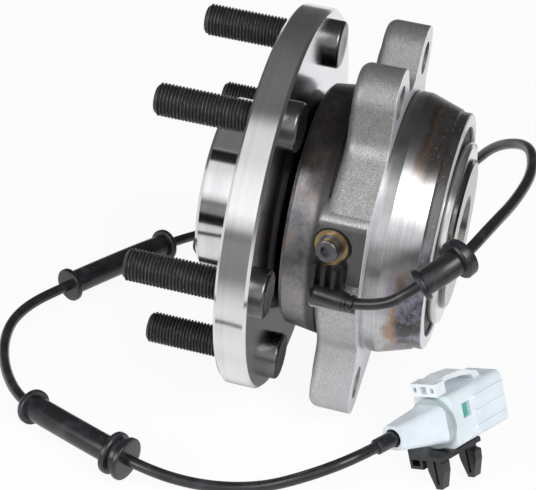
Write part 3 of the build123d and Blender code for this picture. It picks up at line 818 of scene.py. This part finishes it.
# ---------------------------------------------------------------- mesh tools
def dress(piece: bpy.types.Object, *materials: bpy.types.Material) -> bpy.types.Object:
    """Give a piece its materials, in slot order.

    Args:
        piece: The mesh or curve object.
        materials: One material for each slot.

    Returns:
        The same piece.
    """
    slots = piece.data.materials
    for index, material in enumerate(materials):
        if index < len(slots):
            slots[index] = material
        else:
            slots.append(material)
    return piece


def dress_nodes(finishes: dict[str, bpy.types.Material]) -> list[bpy.types.Object]:
    """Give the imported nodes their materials.

    Args:
        finishes: The material of each node, by the node's name.

    Returns:
        The dressed nodes, in the same order.
    """
    return [dress(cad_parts[name], material) for name, material in finishes.items()]


def mesh_piece(name: str, mesh: bmesh.types.BMesh, crease: float = 32.0) -> bpy.types.Object:
    """Turn a bmesh into an object, smooth except at sharp edges.

    Args:
        name: The object's name.
        mesh: The mesh; it is freed.
        crease: Edges sharper than this many degrees stay sharp.

    Returns:
        The new object, linked to the scene.
    """
    bmesh.ops.remove_doubles(mesh, verts=mesh.verts, dist=WELD)
    bmesh.ops.recalc_face_normals(mesh, faces=mesh.faces)
    for face in mesh.faces:
        face.smooth = True
    for edge in mesh.edges:
        if len(edge.link_faces) == 2:
            edge.smooth = edge.calc_face_angle(0.0) < radians(crease)
    data = bpy.data.meshes.new(name)
    mesh.to_mesh(data)
    mesh.free()
    piece = bpy.data.objects.new(name, data)
    bpy.context.collection.objects.link(piece)
    return piece


def join_rows(mesh: bmesh.types.BMesh, near: list[bmesh.types.BMVert],
              far: list[bmesh.types.BMVert], slot: int = 0) -> None:
    """Join two closed rows of vertices with a band of faces.

    Args:
        mesh: The mesh that they are in.
        near: The first row.
        far: The second row, of as many vertices.
        slot: Material slot of the new faces.
    """
    for k in range(len(near)):
        after = (k + 1) % len(near)
        face = mesh.faces.new((near[k], near[after], far[after], far[k]))
        face.material_index = slot


def rings_to_mesh(rings: list[list[Vector]], mesh: bmesh.types.BMesh, slot: int = 0) -> None:
    """Skin a list of closed rings and cap both ends.

    Args:
        rings: Rings of the same number of points.
        mesh: The mesh to add to.
        slot: Material slot of the new faces.
    """
    rows = [[mesh.verts.new(point) for point in ring] for ring in rings]
    for near, far in zip(rows, rows[1:]):
        join_rows(mesh, near, far, slot)
    for row in (rows[0], rows[-1]):
        mesh.faces.new(row).material_index = slot


def circle(centre: Vector, side: Vector, up: Vector, radius: float, count: int) -> list[Vector]:
    """Return the points of a circle.

    Args:
        centre: Its centre.
        side: Unit vector in its plane.
        up: Second unit vector in its plane.
        radius: Its radius.
        count: Number of points.

    Returns:
        The points in order.
    """
    turns = (2 * pi * k / count for k in range(count))
    return [centre + side * (radius * cos(turn)) + up * (radius * sin(turn)) for turn in turns]


# ---------------------------------------------------------------- bearing and hub
@dataclass
class WheelHub:
    """Wheel flange with its pilot, inner ring and tone ring: the turning side."""

    steel: FlangedHubSteel = FlangedHubSteel("hub_turned_steel", (0.77, 0.77, 0.775),
                                             (0.60, 0.60, 0.61), 0.12)
    ring_steel: TurnedSteel = TurnedSteel("inner_ring_ground_steel", roughness=0.16)
    tone_steel: PlainMetal = PlainMetal("tone_ring_steel", (0.36, 0.36, 0.37),
                                        (0.26, 0.26, 0.27), 0.38)

    def build(self) -> list[bpy.types.Object]:
        """Dress the hub's own nodes.

        Returns:
            The dressed nodes.
        """
        return dress_nodes({"wheel_hub": self.steel.make(), "inner_ring": self.ring_steel.make(),
                            "tone_ring": self.tone_steel.make()})


@dataclass
class WheelStuds:
    """Six pressed-in studs with real threads, in millimetres and degrees.

    Heights start at the wheel face. The thread's form gives places along one pitch and shares
    of its depth; the head's dimple gives shares of the head's radius and heights on its back.
    """

    count: int = 6
    circle_r: float = 69.85
    phase: float = 21.2
    length: float = 42.3
    thread_r: float = 7.0
    pitch: float = 1.5
    thread_depth: float = 0.88
    thread_turn: float = 57.0
    thread_form: Pairs = ((0.0, 0.0), (0.14, 0.0), (0.50, 1.0), (0.64, 1.0))
    tip_r: float = 5.4
    tip_taper: float = 1.1
    tip_flat_r: float = 2.97
    knurl_r: float = 7.4
    knurl_chamfer: float = 0.5
    flange_back: float = -14.0
    head_r: float = 10.5
    head_depth: float = 5.5
    head_edge: float = 1.6
    edge_steps: int = 6
    dimple: Pairs = ((0.35, 0.35), (0.50, 0.0))
    segments: int = 40
    crease: float = 50.0
    thread: BlackPhosphate = BlackPhosphate("stud_black_phosphate")
    head: PlainMetal = PlainMetal("stud_head_steel", (0.19, 0.182, 0.182),
                                  (0.12, 0.115, 0.115), 0.27, 500.0, 6e-6)

    def ring(self, radius: float, height: float) -> list[Vector]:
        """Return the points of a level ring round the stud, in metres."""
        return circle(Vector((0, height * MM, 0)), Vector((0, 0, 1)), Vector((1, 0, 0)),
                      radius * MM, self.segments)

    def thread_rings(self) -> list[list[Vector]]:
        """Return the rings of the threaded shank, from before its start to past its end.

        Returns:
            The rings' points in metres; each ring climbs one pitch, within the shank.
        """
        turns = int(self.length / self.pitch) + 2
        rings = []
        for turn in range(-1, turns):
            for share, depth in self.thread_form:
                ring = []
                for k in range(self.segments):
                    height = (turn + share + k / self.segments) * self.pitch
                    height = min(max(height, 0.0), self.length)
                    taper = self.tip_r + (self.length - height) * self.tip_taper
                    radius = min(self.thread_r - depth * self.thread_depth, taper)
                    angle = 2 * pi * k / self.segments
                    ring.append(Vector((radius * sin(angle), height, radius * cos(angle))) * MM)
                rings.append(ring)
        return rings

    def thread_mesh(self, mesh: bmesh.types.BMesh) -> None:
        """Add the threaded shank, joined along its helix.

        Args:
            mesh: The mesh to add to.
        """
        rows = [[mesh.verts.new(point) for point in ring] for ring in self.thread_rings()]
        per_turn = len(self.thread_form)
        for near, far in zip(rows, rows[1:]):
            for k in range(self.segments - 1):
                mesh.faces.new((near[k], near[k + 1], far[k + 1], far[k]))
        for index in range(len(rows) - per_turn - 1):
            mesh.faces.new((rows[index][-1], rows[index + per_turn][0],
                            rows[index + per_turn + 1][0], rows[index + 1][-1]))
        flat = self.ring(self.tip_flat_r, self.length)
        inner = [mesh.verts.new(point) for point in flat]
        join_rows(mesh, rows[-1], inner)
        mesh.faces.new(inner)

    def head_mesh(self, mesh: bmesh.types.BMesh) -> None:
        """Add the round head with its rolled edge, and the shank pressed into the flange.

        Args:
            mesh: The mesh to add to.
        """
        back = self.flange_back - self.head_depth
        profile = [(self.head_r * share, back + height) for share, height in self.dimple]
        for step in range(self.edge_steps + 1):
            turn = pi / 2 * step / self.edge_steps
            profile.append((self.head_r - self.head_edge * (1 - sin(turn)),
                            back + self.head_edge * (1 - cos(turn))))
        profile += [(self.head_r, self.flange_back), (self.knurl_r, self.flange_back),
                    (self.knurl_r, -self.knurl_chamfer),
                    (self.knurl_r - self.knurl_chamfer, 0.0)]
        rings_to_mesh([self.ring(radius, height) for radius, height in profile], mesh, 1)

    def build(self) -> list[bpy.types.Object]:
        """Build the six studs in place of the plain ones.

        Returns:
            The studs.
        """
        materials = (self.thread.make(), self.head.make())
        studs = []
        for index in range(self.count):
            angle = radians(self.phase + 360 / self.count * index)
            mesh = bmesh.new()
            self.thread_mesh(mesh)
            self.head_mesh(mesh)
            stud = mesh_piece(f"wheel_stud_{index + 1}", mesh, self.crease)
            dress(stud, *materials)
            stud.location = Vector((sin(angle), 0, cos(angle))) * (self.circle_r * MM)
            stud.rotation_euler = (0, radians(self.thread_turn * index), 0)
            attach(stud, Body.HUB.value)
            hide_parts("wheel_studs")
            studs.append(stud)
        return studs


@dataclass
class BearingRows:
    """Balls, cages and seals between the hub and the outer ring."""

    ball_steel: PlainMetal = PlainMetal("ball_lapped_steel", (0.82, 0.82, 0.83),
                                        (0.74, 0.74, 0.76), 0.08)
    cage_polymer: MouldedPlastic = MouldedPlastic("cage_polymer", (0.52, 0.46, 0.34),
                                                  (0.42, 0.37, 0.27), 0.5)
    seal_rubber: Rubber = Rubber("seal_rubber", (0.030, 0.029, 0.028),
                                 (0.075, 0.068, 0.060), 0.5)

    def build(self) -> list[bpy.types.Object]:
        """Dress both rows.

        Returns:
            The dressed nodes.
        """
        finishes = {"balls": self.ball_steel.make(), "cage": self.cage_polymer.make(),
                    "seal": self.seal_rubber.make()}
        return dress_nodes({f"{side.value}_{part}": finish
                            for side in Side for part, finish in finishes.items()})


@dataclass
class OuterRing:
    """Flanged outer ring that bolts to the knuckle."""

    steel: ForgedHousingSteel = ForgedHousingSteel("outer_ring_forged_steel")

    def build(self) -> list[bpy.types.Object]:
        """Dress the outer ring."""
        return dress_nodes({"housing": self.steel.make()})


# ---------------------------------------------------------------- sensor and cable
@dataclass
class SpeedSensor:
    """Sensor head with its bush, washer, screw, probe, O-ring and boot."""

    plastic: MouldedPlastic = MouldedPlastic("sensor_black_plastic", (0.007, 0.007, 0.008),
                                             (0.018, 0.018, 0.019), 0.27, 1800.0)
    brass: PlainMetal = PlainMetal("bush_brass", (0.62, 0.45, 0.22), (0.38, 0.25, 0.10), 0.27)
    zinc: PlainMetal = PlainMetal("screw_zinc", (0.27, 0.265, 0.285), (0.13, 0.125, 0.14),
                                  0.28, 1400.0)
    rubber: Rubber = Rubber("sensor_rubber", roughness=0.26)

    def build(self) -> list[bpy.types.Object]:
        """Dress the sensor's nodes.

        Returns:
            The dressed nodes.
        """
        plastic, zinc, rubber = self.plastic.make(), self.zinc.make(), self.rubber.make()
        return dress_nodes({"sensor_body": plastic, "sensor_probe": plastic,
                            "sensor_bush": self.brass.make(), "sensor_washer": zinc,
                            "sensor_screw": zinc, "sensor_o_ring": rubber,
                            "cable_boot": rubber})


@dataclass
class Route:
    """Line of the cable: the listed control points of one spline, in millimetres.

    Its line and the lengths along it are read from the spline, in metres.
    """

    points: list[Point] = field(default_factory=lambda: [
        (-72.3, -54.0, -4.0), (-73.7, -67.5, -1.7), (-71.5, -78.5, 8.5), (-61.0, -94.0, 20.5),
        (-38.0, -101.5, 26.0), (-8.0, -107.5, 25.5), (22.0, -110.5, 26.5), (52.0, -105.0, 25.5),
        (78.0, -88.0, 10.5), (92.0, -76.5, -9.0), (104.0, -48.0, -48.0), (111.0, -18.0, -75.0),
        (113.0, 16.0, -82.0), (106.0, 46.0, -80.0), (73.5, 64.5, -76.5), (16.5, 92.0, -76.0),
        (-12.0, 111.0, -81.5), (-46.0, 105.0, -82.5), (-83.5, 83.5, -78.5), (-97.5, 61.0, -75.5),
        (-118.0, 16.0, -74.5), (-115.5, -8.5, -78.5), (-113.5, -32.5, -74.5),
        (-111.5, -52.0, -64.5), (-101.7, -71.7, -55.0), (-80.5, -82.9, -55.0),
    ])
    resolution: int = 12
    bevel_steps: int = 6
    line: list[Vector] = field(default_factory=list)
    lengths: list[float] = field(default_factory=list)

    def curve(self, name: str, radius: float) -> bpy.types.Object:
        """Make the spline as a curve object.

        Args:
            name: The object's name.
            radius: Its round section's radius in metres, 0 for a bare line.

        Returns:
            The new curve object, linked to the scene.
        """
        data = bpy.data.curves.new(name, "CURVE")
        data.dimensions = "3D"
        data.resolution_u = self.resolution
        data.bevel_depth = radius
        data.bevel_resolution = self.bevel_steps
        data.use_fill_caps = True
        spline = data.splines.new("NURBS")
        spline.points.add(len(self.points) - 1)
        for point, place in zip(spline.points, self.points):
            point.co = (*(Vector(place) * MM), 1.0)
        spline.order_u = 3
        spline.use_endpoint_u = True
        piece = bpy.data.objects.new(name, data)
        bpy.context.collection.objects.link(piece)
        return piece

    def read(self) -> None:
        """Read the spline's own line, for the pieces that sit along it."""
        bare = self.curve("route_line", 0.0)
        mesh = bpy.data.meshes.new_from_object(bare)
        self.line = [vertex.co.copy() for vertex in mesh.vertices]
        bpy.data.objects.remove(bare)
        bpy.data.meshes.remove(mesh)
        self.lengths = [0.0]
        for near, far in zip(self.line, self.line[1:]):
            self.lengths.append(self.lengths[-1] + (far - near).length)

    @property
    def length(self) -> float:
        """Length of the line in metres."""
        return self.lengths[-1]

    def at(self, distance: float) -> tuple[Vector, Vector]:
        """Return the place and direction at a distance along the line.

        Args:
            distance: Metres from the sensor; kept a hair short of the line's end.

        Returns:
            The point, and the unit tangent.
        """
        hair = 1e-9
        reach = min(max(distance, 0.0), self.length - hair)
        index = bisect_right(self.lengths, reach) - 1
        near, far = self.line[index], self.line[index + 1]
        share = (reach - self.lengths[index]) / (self.lengths[index + 1] - self.lengths[index])
        before = self.line[max(index - 1, 0)]
        after = self.line[min(index + 2, len(self.line) - 1)]
        return near.lerp(far, share), (after - before).normalized()

    def nearest(self, place: Vector) -> float:
        """Return the distance along the line that is nearest to a point."""
        gaps = [(point - place).length for point in self.line]
        return self.lengths[gaps.index(min(gaps))]

    def sleeve(self, mesh: bmesh.types.BMesh, start: float, profile: list[Ring],
               count: int = 32) -> None:
        """Add a round sleeve that follows the line.

        Args:
            mesh: The mesh to add to.
            start: Metres along the line at which the profile starts.
            profile: Distance from the start and radius of each ring, in millimetres.
            count: Points on a ring.
        """
        rings = []
        for distance, radius in profile:
            centre, along = self.at(start + distance * MM)
            side = along.cross(Vector((0, 0, 1))).normalized()
            rings.append(circle(centre, side, side.cross(along), radius * MM, count))
        rings_to_mesh(rings, mesh)


@dataclass(frozen=True)
class Disc:
    """Flange of a grommet with rounded rims, in millimetres along its sleeve."""

    start: float
    radius: float
    width: float
    edge: float = 0.7
    steps: int = 4

    def profile(self, root: float) -> list[Ring]:
        """Return the disc's outline, from the sleeve and back to it.

        Args:
            root: The sleeve's radius.

        Returns:
            Its rings.
        """
        end, land = self.start + self.width, self.radius - self.edge
        bends = [pi / 2 * step / self.steps for step in range(self.steps)]
        rim = [(self.edge * (1 - sin(bend)), self.radius - self.edge * (1 - cos(bend)))
               for bend in bends]
        near = [(self.start + inset, radius) for inset, radius in reversed(rim)]
        far = [(end - inset, radius) for inset, radius in rim]
        return [(self.start, root), (self.start, land), *near, *far, (end, land), (end, root)]


@dataclass
class Grommet:
    """Rubber sleeve on the cable with flanges, in millimetres."""

    node: str
    length: float
    discs: tuple[Disc, ...]
    tube_r: float = 5.6
    mouth_r: float = 4.2
    step: float = 2.0

    def profile(self) -> list[Ring]:
        """Return the sleeve's outline.

        Returns:
            Its rings, from its start to its end.
        """
        rings: list[Ring] = []
        here = 0.0
        for disc in self.discs:
            while here < disc.start - self.step:
                rings.append((here, self.tube_r))
                here += self.step
            rings += disc.profile(self.tube_r)
            here = disc.start + disc.width
        while here < self.length:
            rings.append((here, self.tube_r))
            here += self.step
        rings.append((self.length, self.tube_r))
        return [(0.0, self.mouth_r)] + rings + [(self.length, self.mouth_r)]

    def build(self, route: Route, material: bpy.types.Material) -> bpy.types.Object:
        """Build the grommet where its plain node is.

        Args:
            route: The cable's line.
            material: Its rubber.

        Returns:
            The grommet.
        """
        low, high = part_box(self.node)
        start = route.nearest((low + high) / 2) - self.length * MM / 2
        mesh = bmesh.new()
        route.sleeve(mesh, start, self.profile())
        piece = mesh_piece(f"{self.node}_rubber", mesh)
        dress(piece, material)
        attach(piece, Body.HOUSING.value)
        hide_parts(self.node)
        return piece


@dataclass
class SensorCable:
    """Sensor cable with its grommets and the sleeve into the plug, in millimetres."""

    radius: float = 2.4
    sleeve_r: float = 3.3
    sleeve_l: float = 14.0
    sleeve_edge: float = 0.4
    sleeve_step: float = 2.0
    sleeve_gap: float = 0.1
    route: Route = field(default_factory=Route)
    jacket: Rubber = Rubber("cable_jacket_rubber", (0.014, 0.014, 0.016),
                            (0.038, 0.038, 0.044), 0.24, 700.0)
    moulding: Rubber = Rubber("grommet_rubber", (0.013, 0.013, 0.015), (0.050, 0.048, 0.060), 0.27)
    grommets: tuple[Grommet, ...] = (
        Grommet("short_grommet", 22.0, (Disc(0.0, 7.2, 2.6), Disc(18.0, 8.6, 4.0))),
        Grommet("long_grommet", 66.0, (Disc(0.0, 8.0, 2.6), Disc(63.4, 8.0, 2.6))),
        Grommet("bracket_grommet", 57.0, (Disc(0.0, 7.8, 2.6), Disc(48.4, 9.3, 2.6),
                                          Disc(51.0, 7.2, 3.4), Disc(54.4, 9.3, 2.6))),
    )
    plug_nodes: tuple[str, ...] = ("plug_cover", "plug_wire_seal", "plug_collar", "plug_body",
                                   "plug_latch", "plug_insert", "plug_terminals", "plug_clip")

    def sleeve(self, material: bpy.types.Material) -> bpy.types.Object:
        """Build the sleeve at the plug's end.

        Args:
            material: Its rubber.

        Returns:
            The sleeve.
        """
        profile = [(0.0, self.radius), (0.0, self.sleeve_r - self.sleeve_edge),
                   (self.sleeve_edge, self.sleeve_r)]
        profile += [(self.sleeve_step * step, self.sleeve_r)
                    for step in range(1, int(self.sleeve_l / self.sleeve_step))]
        profile.append((self.sleeve_l - self.sleeve_gap, self.sleeve_r))
        mesh = bmesh.new()
        self.route.sleeve(mesh, self.route.length - self.sleeve_l * MM, profile)
        sleeve = dress(mesh_piece("cable_sleeve_rubber", mesh), material)
        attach(sleeve, Body.HOUSING.value)
        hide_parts("cable_sleeve")
        return sleeve

    def build(self) -> list[bpy.types.Object]:
        """Returns:
            The cable, its grommets and its sleeve.
        """
        self.route.read()
        cable = dress(self.route.curve("cable", self.radius * MM), self.jacket.make())
        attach(cable, Body.HOUSING.value)
        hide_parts("sensor_cable")
        rubber = self.moulding.make()
        carried = [grommet.build(self.route, rubber) for grommet in self.grommets]
        carried.append(self.sleeve(rubber))
        return [cable] + carried


@dataclass
class Plug:
    """Plug at the cable's far end, with its latch and the clip under it."""

    pale: MouldedPlastic = MouldedPlastic("plug_pale_plastic", (0.79, 0.86, 0.91),
                                          (0.71, 0.79, 0.85), 0.30, glow=0.08)
    grey: MouldedPlastic = MouldedPlastic("plug_grey_plastic", (0.44, 0.50, 0.50),
                                          (0.36, 0.42, 0.42), 0.38)
    latch: MouldedPlastic = MouldedPlastic("latch_grey_plastic", (0.84, 0.88, 0.91),
                                           (0.76, 0.81, 0.84), 0.32)
    teal: MouldedPlastic = MouldedPlastic("plug_teal_insert", (0.10, 0.42, 0.36),
                                          (0.07, 0.33, 0.28), 0.36)
    black: MouldedPlastic = MouldedPlastic("clip_black_plastic", (0.010, 0.010, 0.012),
                                           (0.026, 0.026, 0.030), 0.24)
    blades: PlainMetal = PlainMetal("terminal_tin", (0.70, 0.66, 0.58), (0.58, 0.54, 0.46), 0.25)
    seal: Rubber = Rubber("plug_seal_rubber")

    def build(self) -> list[bpy.types.Object]:
        """Dress the plug's nodes.

        Returns:
            The dressed nodes.
        """
        pale = self.pale.make()
        return dress_nodes({"plug_cover": pale, "plug_body": pale, "plug_collar": self.grey.make(),
                            "plug_latch": self.latch.make(), "plug_insert": self.teal.make(),
                            "plug_clip": self.black.make(), "plug_terminals": self.blades.make(),
                            "plug_wire_seal": self.seal.make()})


# ---------------------------------------------------------------- studio
@dataclass(frozen=True)
class Lamp:
    """Square soft lamp, in metres and watts."""

    name: str
    place: Point
    target: Point
    size: float
    watts: float

    def build(self) -> None:
        """Hang the lamp and aim it at its target."""
        data = bpy.data.lights.new(self.name, "AREA")
        data.shape = "SQUARE"
        data.size = self.size
        data.energy = self.watts
        lamp = bpy.data.objects.new(self.name, data)
        lamp.location = self.place
        aim = Vector(self.target) - Vector(self.place)
        lamp.rotation_euler = aim.to_track_quat("-Z", "Y").to_euler()
        bpy.context.collection.objects.link(lamp)


@dataclass
class Studio:
    """Pale floor, soft lamps, a plain surround and the camera, in metres.

    In what the metal mirrors, the floor is painted dim beyond dim_away, with a painted shadow
    under the hub, within dim_x and dim_y. Each side of the surround gives levels from straight
    down, 0, to straight up, 1.
    """

    floor_z: float = -0.0852
    floor_half: float = 4.0
    paper_color: Color = (0.92, 0.92, 0.92)
    paper_roughness: float = 0.7
    white: Color = (1.0, 1.0, 1.0)
    dim: Color = (0.175, 0.182, 0.168)
    dim_away: Span = (-0.27, -0.125)
    dim_x: Span = (-0.035, 0.10)
    dim_y: Span = (-0.062, 0.025)
    dim_soft: float = 0.015
    paper_glow: float = 0.93
    glossy_share: float = 0.9
    near_side: Pairs = (
        (0.0, 0.85), (0.44, 0.30), (0.505, 0.20), (0.535, 0.75), (0.61, 1.30), (0.74, 1.15),
        (0.84, 0.90), (1.0, 0.85))
    far_side: Pairs = (
        (0.0, 0.85), (0.46, 0.45), (0.52, 0.14), (0.66, 0.10), (0.80, 0.10), (0.90, 0.14),
        (1.0, 0.20))
    side_change: Span = (-0.48, -0.28)
    tint: Color = (1.0, 1.005, 1.01)
    eye: Point = (-0.72953, -0.15586, 0.37240)
    view: Point = (0.8633, 0.1820, -0.4708)
    upward: Point = (0.4333, 0.2111, 0.8762)
    lens: float = 127.0
    sensor_width: float = 36.0
    clip_start: float = 0.01
    lamps: tuple[Lamp, ...] = (
        Lamp("key", (-0.9, -0.9, 1.3), (0.0, -0.03, 0.0), 0.9, 17.0),
        Lamp("fill", (-1.1, 0.9, 0.5), (0.0, 0.0, 0.0), 0.8, 7.0),
    )

    def strip(self, graph: Graph, value: Socket, low: float, high: float) -> Socket:
        """Return a soft-ended strip of a value.

        Args:
            graph: The material's node tree.
            value: The value to test.
            low: Where the strip starts.
            high: Where it ends.

        Returns:
            The output socket: 1 between low and high, 0 elsewhere.
        """
        soft = self.dim_soft
        return graph.math("SUBTRACT", graph.step(value, low - soft, low + soft),
                          graph.step(value, high - soft, high + soft))

    def paper(self) -> bpy.types.Material:
        """Build the floor's paper: white where it is seen, painted dim in places in the metal.

        Returns:
            The material.
        """
        graph = Graph("floor_paper")
        material = graph.surface(self.paper_color, self.paper_roughness)
        rays = graph.add("LightPath").outputs
        # painted shadow under the hub, seen only in reflections
        under = graph.times(self.strip(graph, graph.x, *self.dim_x),
                            self.strip(graph, graph.y, *self.dim_y))
        dim = graph.times(rays["Is Glossy Ray"],
                          graph.greater(graph.before(graph.x, *self.dim_away), under))
        seen = graph.greater(rays["Is Camera Ray"],
                             graph.times(rays["Is Glossy Ray"], self.glossy_share))
        glow = graph.add("Emission")
        graph.put(graph.mix(dim, self.white, self.dim), glow.inputs["Color"])
        both = graph.add("MixShader")
        for source, target in zip((graph.times(seen, self.paper_glow), graph.shader.outputs[0],
                                   glow.outputs[0]), both.inputs):
            graph.put(source, target)
        graph.put(both.outputs[0], graph.tree.nodes["Material Output"].inputs["Surface"])
        return material

    def floor(self) -> None:
        """Lay the floor."""
        mesh = bmesh.new()
        bmesh.ops.create_grid(mesh, x_segments=1, y_segments=1, size=self.floor_half)
        piece = dress(mesh_piece("floor", mesh), self.paper())
        piece.location = (0, 0, self.floor_z)

    def surround(self) -> None:
        """Give the world a plain studio's bright and dark bands, white to the camera."""
        world = bpy.data.worlds.new("studio")
        bpy.context.scene.world = world
        world.use_nodes = True
        tree = Tree(world.node_tree, "Generated")
        height = tree.math("MULTIPLY_ADD", tree.z, 0.5, 0.5)
        sides = []
        for levels in (self.near_side, self.far_side):
            stops = tuple((position, tuple(level * part for part in self.tint))
                          for position, level in levels)
            sides.append(tree.ramp(height, stops))
        around = tree.mix(tree.step(tree.x, *self.side_change), *sides)
        camera_ray = tree.add("LightPath").outputs["Is Camera Ray"]
        tree.put(tree.mix(camera_ray, around, self.white),
                 world.node_tree.nodes["Background"].inputs["Color"])

    def camera(self) -> None:
        """Set up the camera."""
        data = bpy.data.cameras.new("camera")
        data.sensor_width = self.sensor_width
        data.sensor_fit = "HORIZONTAL"
        data.lens = self.lens
        data.clip_start = self.clip_start
        camera = bpy.data.objects.new("camera", data)
        forward = Vector(self.view).normalized()
        upward = Vector(self.upward)
        upward = (upward - forward * upward.dot(forward)).normalized()
        side = forward.cross(upward)
        turn = Matrix((side, upward, -forward)).transposed().to_4x4()
        camera.matrix_world = Matrix.Translation(self.eye) @ turn
        bpy.context.collection.objects.link(camera)
        bpy.context.scene.camera = camera

    def build(self) -> None:
        """Set up floor, lamps, surround and camera."""
        bpy.context.scene.view_settings.view_transform = "Standard"
        self.floor()
        self.surround()
        self.camera()
        for lamp in self.lamps:
            lamp.build()


def main() -> None:
    """Build the studio and every sub-assembly."""
    logging.basicConfig(level=logging.INFO, format="%(name)s: %(message)s")
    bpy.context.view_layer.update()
    Studio().build()
    for assembly in (SensorCable(), WheelHub(), WheelStuds(), BearingRows(), OuterRing(),
                     SpeedSensor(), Plug()):
        for piece in assembly.build():
            LOG.info("%s: %s", type(assembly).__name__, piece.name)
    bpy.context.view_layer.update()


if __name__ == "__main__":
    main()
